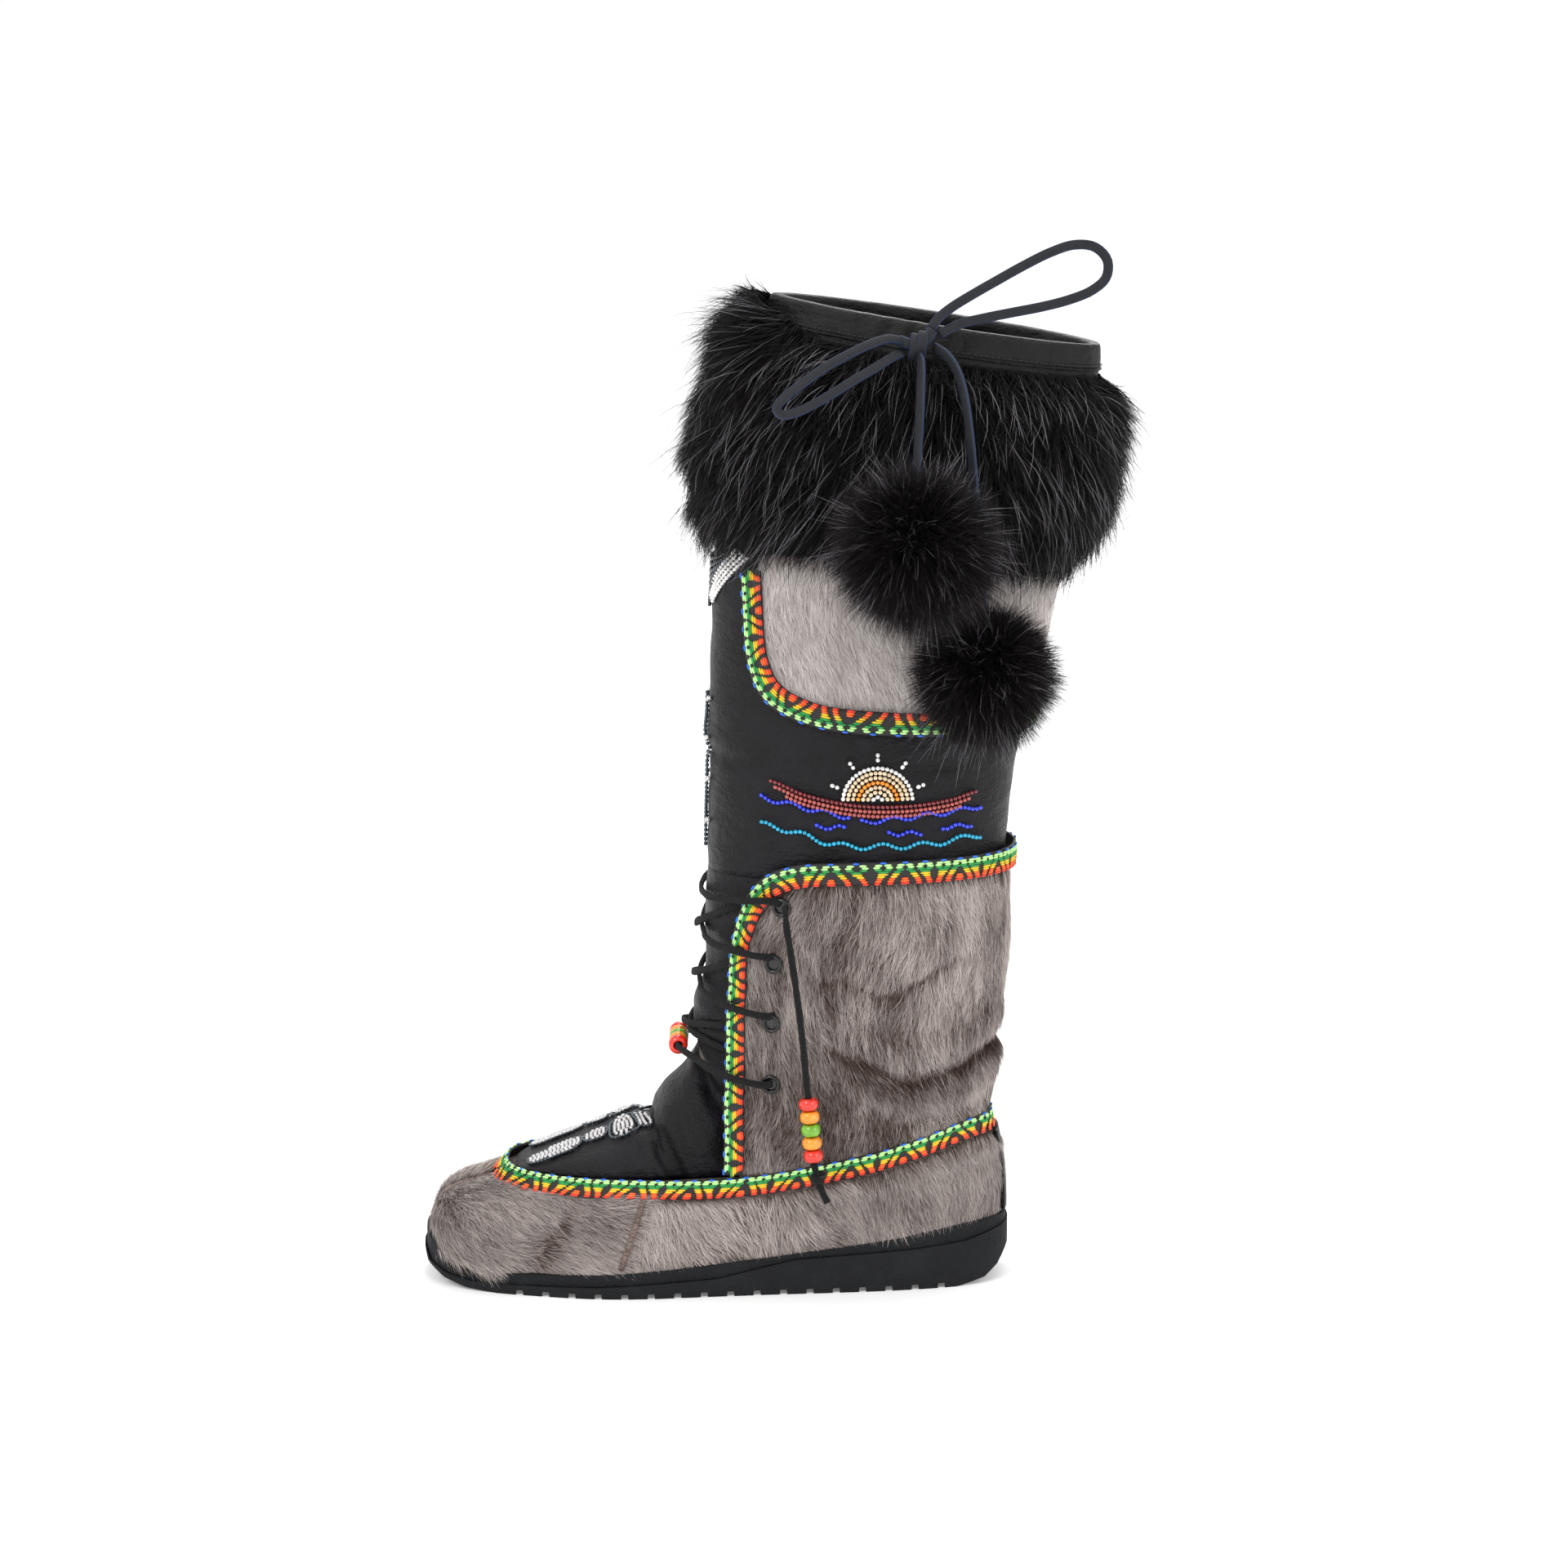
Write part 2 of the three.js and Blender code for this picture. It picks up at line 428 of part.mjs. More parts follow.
const tailBeads = ['redBead', 'orangeBead', 'greenBead', 'orangeBead', 'redBead'];
for (const [side, sideOf] of sides) {
  const lace = toManifold(cord(tailPoints, LACE_RADIUS, 30));
  const knotAt = tailCurve.getPointAt(TAIL_KNOT.share);
  const knot = new THREE.SphereGeometry(TAIL_KNOT.radius, 8, 6).scale(1, 0.8, 1.1)
    .translate(knotAt.x, knotAt.y, knotAt.z);
  const whole = fromManifold(lace.add(toManifold(clean(knot))));
  add(`lace_tail_${side}`, 'suede', side === 'inner' ? clean(whole.scale(1, -1, 1)) : whole);
  tailBeads.forEach((look, k) => {
    const share = 0.645 + k * BEAD.pitch / tailCurve.getLength();
    const mesh = add(`tail_bead_${side}_${k + 1}`, look, bead());
    aimed(mesh, sideOf(tailCurve.getPointAt(share)), sideOf(tailCurve.getTangentAt(share)));
  });
}

// ---- Bow ----
const KNOT = { at: new THREE.Vector3(89, -39.5, 434), size: [5.8, 4.9, 8.2] };
add('bow_knot', 'thong', new THREE.SphereGeometry(1, 14, 10).scale(...KNOT.size)
  .translate(...KNOT.at.toArray()), leg);
const asPoints = (route) => route.map((p) => new THREE.Vector3(...p));
const FRONT_LOOP = [[82, -42, 436.5], [76, -47, 438], [68, -53, 436.5], [58, -58, 432.5], [48, -62.5, 427.5],
  [39, -66, 421.5], [31, -68.5, 415.5], [27, -70, 411], [29, -71.5, 408], [35, -71, 408.8], [43, -69, 412.2],
  [52, -66, 417], [61, -62, 422], [70, -56.5, 426.5], [77, -49.5, 429.8], [81.8, -44.2, 431.4]];
const REAR_LOOP = [[94.6, -37, 440.8], [98, -35.5, 445.5], [104, -33.5, 450.2], [113, -32, 455.6], [124, -31, 461.8],
  [136, -30, 468.4], [148, -29, 474.2], [158, -28, 477.2], [167, -27.5, 476.2], [172.6, -27.5, 470.4],
  [172.2, -28, 462.8], [166, -29, 457.2], [156, -30, 453.2], [144, -31, 450.2], [131, -32, 447.8],
  [118, -33.5, 445.4], [107, -35, 442.8], [98.6, -36.8, 438.6]];
const FRONT_TAIL = [[89.5, -45.6, 430], [90.2, -49.6, 428.8], [90.3, -53, 426.5], [90.3, -56, 423.5],
  [90.1, -58.4, 420.1], [90, -60.3, 416.3], [89.8, -61.9, 412.4], [89.7, -63, 408.4], [89.5, -63.9, 404.3],
  [89.3, -64.7, 400.2], [89, -65.6, 396.1], [88.7, -67, 392.1], [88.5, -68.9, 388.5], [88.2, -71.5, 385.1],
  [87.9, -74.3, 382.1], [87.8, -77.4, 379.2]];
const REAR_TAIL = [[96.3, -40, 433.4], [100.8, -44.3, 431.2], [104.3, -48.3, 427.4], [106.8, -52.1, 422.6],
  [108.5, -55.4, 417.1], [109.7, -58.1, 411.2], [110.6, -60, 405], [111.4, -61.5, 398.6],
  [112.1, -62.6, 392.1], [112.7, -63.4, 385.6], [113.3, -64, 379.1], [113.8, -64.4, 372.5],
  [114.3, -64.8, 365.9], [114.9, -65.1, 359.4], [115.4, -65.3, 352.8], [115.9, -65.6, 346.2],
  [116.3, -66, 339.6], [116.7, -66.8, 333.1], [116.9, -68.3, 326.7], [117.1, -70.4, 320.4]];
add('bow_loop_front', 'thong', cord(asPoints(FRONT_LOOP), THONG_RADIUS, 26), leg);
add('bow_loop_rear', 'thong', cord(asPoints(REAR_LOOP), THONG_RADIUS, 28), leg);
add('thong_tail_front', 'thong', cord(asPoints(FRONT_TAIL), THONG_RADIUS, 12));
add('thong_tail_rear', 'thong', cord(asPoints(REAR_TAIL), THONG_RADIUS, 20));
const pompomAt = { front: [87.6, -90.5, 354.2], rear: [117.8, -78.5, 296] };
for (const [place, at] of Object.entries(pompomAt)) {
  add(`pompom_${place}`, 'blackFur', new THREE.SphereGeometry(POMPOM[place], 18, 12).translate(...at));
}

export default boot;
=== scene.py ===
import math

import bmesh
import bpy
import numpy as np
from mathutils import Matrix, Vector, noise


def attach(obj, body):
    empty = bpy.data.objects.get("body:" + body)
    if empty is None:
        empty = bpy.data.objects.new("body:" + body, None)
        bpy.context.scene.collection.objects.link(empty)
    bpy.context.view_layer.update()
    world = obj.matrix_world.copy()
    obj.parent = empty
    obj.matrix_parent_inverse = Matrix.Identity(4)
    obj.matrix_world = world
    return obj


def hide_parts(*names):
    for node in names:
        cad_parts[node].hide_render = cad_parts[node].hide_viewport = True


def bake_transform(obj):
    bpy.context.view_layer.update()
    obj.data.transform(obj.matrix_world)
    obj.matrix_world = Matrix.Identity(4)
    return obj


# A left winter boot, tall, with seal fur, black fur cuff, laced front and beadwork.
# The leg's and foot's formulas work in millimetres, and every mesh is made in metres.
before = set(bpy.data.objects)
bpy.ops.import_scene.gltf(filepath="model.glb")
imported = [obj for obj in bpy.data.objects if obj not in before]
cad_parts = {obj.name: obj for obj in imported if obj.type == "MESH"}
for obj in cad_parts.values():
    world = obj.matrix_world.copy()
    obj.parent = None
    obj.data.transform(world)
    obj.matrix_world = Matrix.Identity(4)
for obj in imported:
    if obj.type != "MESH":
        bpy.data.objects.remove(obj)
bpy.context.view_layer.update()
MM = 0.001
SIDES = {"outer": -1, "inner": 1}          # the sign of Y on each side of the boot


# ---- Camera ----
CAMERA_TARGET = Vector((0.0302, 0, 0.2286))
CAMERA_DISTANCE = 2.7
CAMERA_RISE = math.radians(12)
CAMERA_LENS = 136.7
CAMERA_SENSOR = 36


def place_camera():
    offset = Vector((0, -math.cos(CAMERA_RISE), math.sin(CAMERA_RISE))) * CAMERA_DISTANCE
    data = bpy.data.cameras.new("camera")
    data.sensor_width = CAMERA_SENSOR
    data.lens = CAMERA_LENS
    data.clip_end = 20
    camera = bpy.data.objects.new("camera", data)
    camera.location = CAMERA_TARGET + offset
    camera.rotation_euler = (-offset).to_track_quat("-Z", "Y").to_euler()
    bpy.context.scene.collection.objects.link(camera)
    bpy.context.scene.camera = camera


place_camera()


# ---- Material maths ----
class Wire:
    """A value on its way through a material: sums and products of wires add Math nodes."""

    def __init__(self, finish, socket):
        self.finish = finish
        self.socket = socket

    def join(self, operation, *others):
        return self.finish.node("ShaderNodeMath", {"operation": operation}, [self, *others])

    def __add__(self, other):
        return self.join("ADD", other)

    def __sub__(self, other):
        return self.join("SUBTRACT", other)

    def __mul__(self, other):
        return self.join("MULTIPLY", other)

    def __rsub__(self, other):
        return self * -1 + other

    __radd__ = __add__
    __rmul__ = __mul__

    def ramp(self, *stops):
        """Blends between stops, each (place, colour)."""
        return self.finish.node("ShaderNodeValToRGB", {"stops": stops}, [self])

    def graded(self, low, high):
        """Runs smoothly from 0 at low to 1 at high."""
        settings = {"interpolation_type": "SMOOTHSTEP"}
        values = {"Value": self, "From Min": low, "From Max": high}
        return self.finish.node("ShaderNodeMapRange", settings, values)


class Finish:
    """A material with one Principled shader; node() adds any other node."""

    def __init__(self, name, colour=(0.5, 0.5, 0.5), **sockets):
        self.material = bpy.data.materials.new(name)
        self.material.use_nodes = True
        self.tree = self.material.node_tree
        self.shader = self.tree.nodes["Principled BSDF"]
        self.feed("Base Color", (*colour, 1))
        for socket, value in sockets.items():
            self.feed(socket.replace("_", " "), value)

    def feed(self, socket, value):
        socket = self.shader.inputs[socket] if isinstance(socket, str) else socket
        if isinstance(value, Wire):
            self.tree.links.new(value.socket, socket)
        else:
            socket.default_value = value

    def node(self, kind, settings=None, values=(), output=0):
        made = self.tree.nodes.new(kind)
        for key, value in (settings or {}).items():
            if key == "stops":
                self.set_stops(made.color_ramp, value)
            else:
                setattr(made, key, value)
        for key, value in (values.items() if isinstance(values, dict) else enumerate(values)):
            self.feed(made.inputs[key], value)
        return Wire(self, made.outputs[output])

    def set_stops(self, ramp, stops):
        while len(ramp.elements) < len(stops):
            ramp.elements.new(1)
        for element, (place, colour) in zip(ramp.elements, stops):
            element.position = place
            element.color = (*colour, 1)

    def place(self):
        """Object coordinates, in metres."""
        return self.node("ShaderNodeTexCoord", output="Object")

    def layout(self, name):
        """One of the piece's own UV maps."""
        return self.node("ShaderNodeUVMap", {"uv_map": name})

    def part(self, wire, axis):
        return self.node("ShaderNodeSeparateXYZ", None, [wire], axis)

    def stretched(self, wire, scale):
        return self.node("ShaderNodeMapping", None, {"Vector": wire, "Scale": scale})

    def mottle(self, at, scale, detail=3, roughness=0.55):
        values = {"Vector": at, "Scale": scale, "Detail": detail, "Roughness": roughness}
        return self.node("ShaderNodeTexNoise", None, values)

    def cells(self, at, scale):
        return self.node("ShaderNodeTexVoronoi", None, {"Vector": at, "Scale": scale})

    def blended(self, share, low, high):
        """A colour between two, by share."""
        settings = {"data_type": "RGBA"}
        values = {"Factor": share, 6: low if isinstance(low, Wire) else (*low, 1),
                  7: high if isinstance(high, Wire) else (*high, 1)}
        return self.node("ShaderNodeMix", settings, values, 2)

    def raised(self, height, distance, strength=1.0):
        values = {"Height": height, "Distance": distance, "Strength": strength}
        self.feed("Normal", self.node("ShaderNodeBump", None, values))


def tint(red, green, blue):
    """A colour from its everyday 0 to 255 values."""
    return tuple(((v / 255 + 0.055) / 1.055) ** 2.4 if v > 10 else v / 255 / 12.92
                 for v in (red, green, blue))


def shade(colour, by):
    return tuple(v * by for v in colour)


def make_leather(name, colour, shine, grain=1.0):
    finish = Finish(name, colour, Roughness=shine, Specular_IOR_Level=0.2)
    place = finish.place()
    pores = finish.cells(place, 980 / grain)
    wide = finish.mottle(place, 38, 4, 0.6)
    fine = finish.mottle(place, 900, 2)
    finish.feed("Base Color", finish.blended(wide.graded(0.35, 0.72), shade(colour, 0.7), shade(colour, 1.8)))
    finish.feed("Roughness", fine * 0.16 + wide * 0.3 + (shine - 0.25))
    wrinkles = finish.mottle(finish.stretched(place, (1, 1, 2.2)), 75, 6, 0.62)
    finish.raised(pores * 0.6 + finish.mottle(place, 260, 3) * 0.7 + wrinkles * 6, 0.0006, 0.7)
    return finish


def make_fur(name, dark, light, tip, root=0.45, roughness=0.5, gloss=0.3):
    """Hair colours: across its own layout runs the hair's tone, and up it root to tip, darker at the root as
    painted shade among the hairs and paler at the tip, partly the hair's own colour and partly painted sheen.
    """
    finish = Finish(name, light, Roughness=roughness, Specular_IOR_Level=gloss)
    layout = finish.layout("OFBake")
    tone = finish.part(layout, 0)
    along = finish.part(layout, 1)
    between = tuple((a + b) / 2 for a, b in zip(dark, light))
    body = tone.ramp((0, dark), (0.5, between), (1, light))
    # The paler tips are partly the hairs' own colour and partly painted sheen.
    pale_tips_and_sheen = finish.blended(along.graded(0.55, 1.0) * 0.6, body, tip)
    # The darker roots are painted shade among the hairs; root sets how dark they are.
    finish.feed("Base Color", finish.blended(along.graded(0.0, 0.6), shade(dark, root), pale_tips_and_sheen))
    return finish


def make_hide(name, dark, light, streak):
    """The hair mass below the single hairs, streaked along the way the hair lies."""
    finish = Finish(name, dark, Roughness=0.85, Specular_IOR_Level=0.2)
    grain = finish.stretched(finish.place(), streak)
    strands = finish.mottle(grain, 1500, 2)
    patches = finish.mottle(finish.place(), 45, 3)
    share = (strands * 0.8 + patches * 0.5).graded(0.42, 0.92)
    finish.feed("Base Color", finish.blended(share, dark, light))
    finish.raised(strands, 0.0007)
    return finish


def make_thread(name, colour):
    finish = Finish(name, colour, Roughness=0.55)
    place = finish.place()
    twist = finish.mottle(place, 700)
    finish.feed("Base Color", finish.blended(twist, shade(colour, 0.75), shade(colour, 1.15)))
    finish.raised(finish.mottle(place, 2600, 2), 0.0002, 0.6)
    return finish


def make_glass(name, colour, roughness=0.14, metallic=0.0):
    finish = Finish(name, colour, Roughness=roughness, Metallic=metallic, Coat_Weight=0.6,
                    Coat_Roughness=0.06)
    spots = finish.mottle(finish.place(), 420, 2).graded(0.3, 0.7)
    finish.feed("Base Color", finish.blended(spots, shade(colour, 0.78), shade(colour, 1.12)))
    return finish


def make_rubber(name, colour):
    finish = Finish(name, colour, Roughness=0.8, Specular_IOR_Level=0.22)
    place = finish.place()
    pebbles = finish.cells(place, 900)
    dust = finish.mottle(place, 70, 5, 0.7)
    finish.feed("Base Color", finish.blended(dust.graded(0.4, 0.75), colour, shade(colour, 1.9)))
    finish.feed("Roughness", dust * 0.3 + 0.6)
    finish.raised(pebbles * -1.0 + finish.mottle(place, 1900, 2) * 0.5, 0.0007, 0.7)
    return finish


def make_felt(name, dark, light, scale=700, sheen=0.25):
    finish = Finish(name, dark, Roughness=0.95, Specular_IOR_Level=0.2, Sheen_Weight=sheen)
    curl = finish.mottle(finish.place(), scale, 4, 0.7)
    finish.feed("Base Color", finish.blended(curl.graded(0.35, 0.65), dark, light))
    finish.raised(curl, 0.0015)
    return finish


def make_thong():
    """Charcoal face, grey flesh side and navy cut edges: across the layout runs the way round the thong."""
    finish = Finish("thong", tint(34, 36, 42), Roughness=0.5, Specular_IOR_Level=0.25)
    place = finish.place()
    round_way = finish.part(finish.layout("around"), 0)
    from_edge = (round_way - 0.5).join("ABSOLUTE")
    edges = from_edge.graded(0.14, 0.115) + from_edge.graded(0.36, 0.385)
    wear = finish.mottle(place, 300, 4)
    face = finish.blended(wear, tint(14, 15, 18), tint(36, 38, 44))
    flesh = finish.blended(wear, tint(34, 35, 37), tint(60, 61, 62))
    both = finish.blended(round_way.graded(0.47, 0.53), face, flesh)
    finish.feed("Base Color", finish.blended(edges * 0.9, both, tint(36, 46, 70)))
    finish.feed("Roughness", wear * 0.3 + 0.4)
    finish.raised(finish.mottle(place, 1400, 3), 0.0003, 0.7)
    return finish


BLACK_LEATHER = make_leather("black_leather", tint(15, 14, 17), 0.48)
CASING_LEATHER = make_leather("casing_leather", tint(16, 15, 16), 0.45, 1.2)
SUEDE = make_felt("suede_lace", tint(12, 12, 13), tint(32, 32, 34), 1500, 0.05)
SEAL_HAIR = make_fur("seal_hair", tint(66, 47, 37), tint(206, 194, 188), tint(222, 214, 210), 0.55)
PALE_HAIR = make_fur("pale_seal_hair", tint(160, 146, 140), tint(236, 230, 227), tint(246, 243, 241), 0.8)
BLACK_HAIR = make_fur("black_hair", tint(6, 5, 6), tint(26, 22, 24), tint(40, 36, 39), 0.4, 0.5, 0.15)
# Grey guard hairs: partly the fur's own grey hair and partly painted sheen on the black fur.
GUARD_HAIR_AND_SHEEN = make_fur("guard_hair_and_sheen", tint(18, 16, 18), tint(110, 107, 112), tint(190, 187, 192), 0.5, 0.35)
SEAL_HIDE = make_hide("seal_hide", tint(52, 41, 37), tint(120, 104, 98), (1, 1, 0.12))
FOOT_HIDE = make_hide("foot_hide", tint(72, 58, 52), tint(140, 122, 116), (0.12, 1, 1))
PALE_HIDE = make_hide("pale_hide", tint(140, 126, 122), tint(200, 190, 186), (1, 1, 0.12))
BLACK_HIDE = make_hide("black_hide", tint(5, 4, 5), tint(16, 13, 14), (1, 1, 0.3))
RUBBER = make_rubber("sole_rubber", tint(20, 21, 23))
LINING = make_felt("pile_lining", tint(40, 33, 28), tint(92, 78, 66), 420)
FELT = make_felt("insole_felt", tint(110, 95, 72), tint(150, 134, 106), 900)
THONG = make_thong()
BRAID_TAPE = make_thread("braid_tape", tint(18, 17, 19))
BRAID_THREADS = {
    "green": make_thread("braid_green", tint(40, 150, 72)),
    "pale": make_thread("braid_pale", tint(192, 244, 156)),
    "blue": make_thread("braid_blue", tint(42, 104, 214)),
    "yellow": make_thread("braid_yellow", tint(232, 196, 30)),
    "orange": make_thread("braid_orange", tint(246, 100, 32)),
    "red": make_thread("braid_red", tint(228, 56, 34)),
}
BEAD_GLASS = {
    "red": make_glass("bead_red", tint(226, 44, 26)),
    "orange": make_glass("bead_orange", tint(248, 148, 32)),
    "green": make_glass("bead_green", tint(112, 172, 38)),
    "silver": make_glass("bead_silver", tint(206, 204, 204), 0.22, 0.55),
    "smoke": make_glass("bead_smoke", tint(58, 68, 76), 0.25, 0.4),
    "white": make_glass("bead_white", tint(240, 238, 236), 0.25),
    "cream": make_glass("bead_cream", tint(232, 208, 172), 0.25),
    "copper": make_glass("bead_copper", tint(176, 84, 78), 0.2, 0.2),
    "wine": make_glass("bead_wine", tint(120, 28, 36), 0.2, 0.1),
    "royal": make_glass("bead_royal", tint(36, 56, 214), 0.18),
    "turquoise": make_glass("bead_turquoise", tint(24, 160, 196), 0.18),
    "black": make_glass("bead_black", tint(22, 24, 26), 0.12, 0.1),
}
EYELET_METAL = Finish("eyelet_metal", tint(12, 12, 13), Roughness=0.25, Specular_IOR_Level=0.4,
                      Coat_Weight=0.25)


# ---- The boot's shape, in millimetres ----
def through(stations):
    """A value that passes smoothly through its stations, each (position, value)."""
    places = [s[0] for s in stations]
    values = [s[1] for s in stations]
    last = len(stations) - 1
    slopes = [0 if k in (0, last) else (values[k + 1] - values[k - 1]) / (places[k + 1] - places[k - 1])
              for k in range(last + 1)]

    def at(place):
        if place <= places[0]:
            return values[0]
        if place >= places[last]:
            return values[last]
        k = max(i for i in range(last) if places[i] <= place)
        step = places[k + 1] - places[k]
        s = (place - places[k]) / step
        rise = values[k + 1] - values[k]
        m0, m1 = slopes[k] * step, slopes[k + 1] * step
        return values[k] + s * m0 + s * s * (3 * rise - 2 * m0 - m1) + s ** 3 * (-2 * rise + m0 + m1)

    return at


def mix(a, b, s):
    return a + (b - a) * s


def eased(low, high, value):
    s = min(max((value - low) / (high - low), 0), 1)
    return s * s * (3 - 2 * s)


def hump(value, middle, width):
    return math.exp(-((value - middle) / width) ** 2)


def signed_power(value, power):
    return math.copysign(abs(value) ** power, value)


outer_width = through([(-133, 45), (-90, 47), (-45, 50), (20, 42), (85, 38), (133, 37)])
inner_width = through([(-133, 45), (-70, 48), (0, 37), (50, 35), (85, 36.5), (133, 37)])
MIDSOLE_EDGE = ((-119, 10), (-101, 9.2), (-40, 11.6), (15, 16.3), (77, 23.5), (127, 30.5))
midsole_top = through(MIDSOLE_EDGE)
braid_height = through([(-100, 44), (-44, 45), (11, 45.5), (67, 54.5), (89, 60.5), (120, 69)])
upper_inset = through([(-100, 9), (-40, 7), (20, 4.4), (120, 4.4)])
BASE_RAIL = (-118, 127, lambda x: 4.4)
LOWER_RAIL = (-101, 123, upper_inset)
UPPER_RAIL = (-93, 121.5, lambda x: upper_inset(x) + 1.6)
COUNTER_TOP = 81.5


def rail(turn, front, back, inset):
    """Round the foot: turn 0 at the toe, 0.25 outer side, 0.5 heel, 0.75 inner side."""
    angle = 2 * math.pi * (turn % 1)
    x = (front + back) / 2 - (back - front) / 2 * signed_power(math.cos(angle), 2 / 3)
    width = (outer_width(x) if angle <= math.pi else inner_width(x)) - inset(x)
    return x, -width * signed_power(math.sin(angle), 2 / 3)


def rail_turn(x, front, back, inset):
    """The turn at which the outer side of a rail reaches x, whatever the rail's inset."""
    across = min(max(((front + back) / 2 - x) / ((back - front) / 2), -1), 1)
    return math.acos(signed_power(across, 1.5)) / (2 * math.pi)


def foot_wall(turn, level):
    rails = [rail(turn, *r) for r in (BASE_RAIL, LOWER_RAIL, UPPER_RAIL)]
    heights = [midsole_top(rails[0][0]) + 0.9, braid_height(rails[1][0]), braid_height(rails[2][0]) + 9.3]
    points = [Vector((x, y, z)) for (x, y), z in zip(rails, heights)]
    points.append(Vector((*rails[2], max(COUNTER_TOP, heights[2] + 1))))
    i = min(int(level), 2)
    return points[i].lerp(points[i + 1], level - i)


def on_foot(turn, level, off):
    step = 0.004
    across = foot_wall(turn + step, level) - foot_wall(turn - step, level)
    low = min(level, 2.9)
    up = foot_wall(turn, low + 0.1) - foot_wall(turn, max(low - 0.1, 0))
    return foot_wall(turn, level) + across.cross(up).normalized() * off


leg_front = through([(80, -15), (100, -12), (126, -9), (145, -5), (190, -4), (326, -1), (380, 6), (420, 15),
                     (452, 25)])
leg_back = through([(80, 120), (99, 122), (118, 125), (156, 130), (187, 130), (221, 132), (249, 135.5),
                    (320, 151), (380, 163), (430, 171), (452, 174)])
leg_half = through([(80, 36.5), (110, 38), (160, 40), (200, 41), (320, 41.5), (380, 37), (420, 30),
                    (452, 25)])
leg_power = through([(80, 2.3), (320, 2.2), (452, 1.9)])
quarter_front = through([(57, 13.5), (86, 15.2), (107, 15.4), (152, 16), (176, 22), (186, 30), (195, 42)])
BACK_SEAM = -math.pi + 0.012
LEG_FOOT = 80                # below this height the leg's section stays the same
LEG_SWAY = 98                # below this height the leg starts to follow the foot's wall


def on_side(turn, side):
    """A turn of the outer side, carried to the side asked for."""
    return turn if SIDES[side] < 0 else -turn


def wrapped(turn):
    return turn - 2 * math.pi if turn > math.pi else turn


def rim_height(x):
    return 452 - (x - 25) * 0.15


def on_leg(turn, z, off=0):
    """turn 0 at the front, -pi/2 on the outer side, pi/2 on the inner side and pi behind."""
    front, back, half, power = leg_front(z), leg_back(z), leg_half(z), leg_power(z)
    long, mid = (back - front) / 2, (back + front) / 2
    c, s = math.cos(turn), math.sin(turn)
    normal = Vector((-signed_power(c, 2 - 2 / power) / long, signed_power(s, 2 - 2 / power) / half, 0))
    point = Vector((mid - long * signed_power(c, 2 / power), half * signed_power(s, 2 / power), z))
    return point + normal.normalized() * off


def turn_at(x, z):
    """The turn at which the leg's outer side reaches x."""
    front, back, power = leg_front(z), leg_back(z), leg_power(z)
    across = min(max(((back + front) / 2 - x) / ((back - front) / 2), -1), 1)
    return -math.acos(signed_power(across, power / 2))


ankle_crease = through([(40, 121), (60, 114), (76, 105), (90, 103), (108, 108), (124, 116)])
high_crease = through([(55, 152), (72, 143), (90, 148), (108, 160)])
slack_crease = through([(-6, 246), (30, 243), (60, 250), (95, 244), (136, 251)])


def slack(x, z):
    """How far the soft leg stands in or out of its plain section, in creases and bulges."""
    depth = eased(40, 66, x) * (1 - 0.35 * eased(110, 126, x))
    fold = -3.4 * depth * hump(z, ankle_crease(x), 3.6)
    fold += 2.0 * depth * hump(z, ankle_crease(x) + 10, 8)
    fold += 2.6 * depth * hump(z, ankle_crease(x) - 11, 8)
    fold -= 1.5 * hump(x, 82, 26) * hump(z, high_crease(x), 4)
    fold += 1.2 * hump(x, 82, 26) * hump(z, high_crease(x) + 9, 7)
    fold -= 1.5 * hump(z, slack_crease(x), 2.6) * (0.5 + 0.5 * math.sin(x * 0.055 + 1.6))
    fold += 0.9 * hump(z, slack_crease(x) + 8, 6)
    fold += 2.6 * eased(96, 124, x) * hump(z, 92, 12)
    return fold


def shaft(turn, z, off=0):
    """A point on the leg's soft surface; below the ankle it runs into the foot's wall."""
    level = max(z, LEG_FOOT)
    high = on_leg(turn, level)
    high = on_leg(turn, level, off + slack(high.x, z))
    high.z = z
    if z >= LEG_SWAY:
        return high
    way = rail_turn(high.x, *UPPER_RAIL)
    low = on_foot(way if turn < 0 else 1 - way, 2.5, off + slack(high.x, z))
    low.z = z
    return low.lerp(high, eased(62, LEG_SWAY, z))


# ---- Mesh helpers ----
def to_object(name, bm, *finishes, smooth=True):
    mesh = bpy.data.meshes.new(name)
    bm.to_mesh(mesh)
    bm.free()
    mesh.polygons.foreach_set("use_smooth", [smooth] * len(mesh.polygons))
    return show(name, mesh, *finishes)


def show(name, mesh, *finishes):
    for finish in finishes:
        mesh.materials.append(finish.material)
    piece = bpy.data.objects.new(name, mesh)
    bpy.context.scene.collection.objects.link(piece)
    return piece


def settle(piece, body, slot, *nodes):
    """Hangs a piece under its body's empty and hides the nodes it stands for; a piece of the body 'ankle'
    instead has its place baked into its mesh. slot is not used.
    """
    if body == "ankle":
        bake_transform(piece)
    else:
        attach(piece, body)
    if nodes:
        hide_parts(*nodes)
    return piece


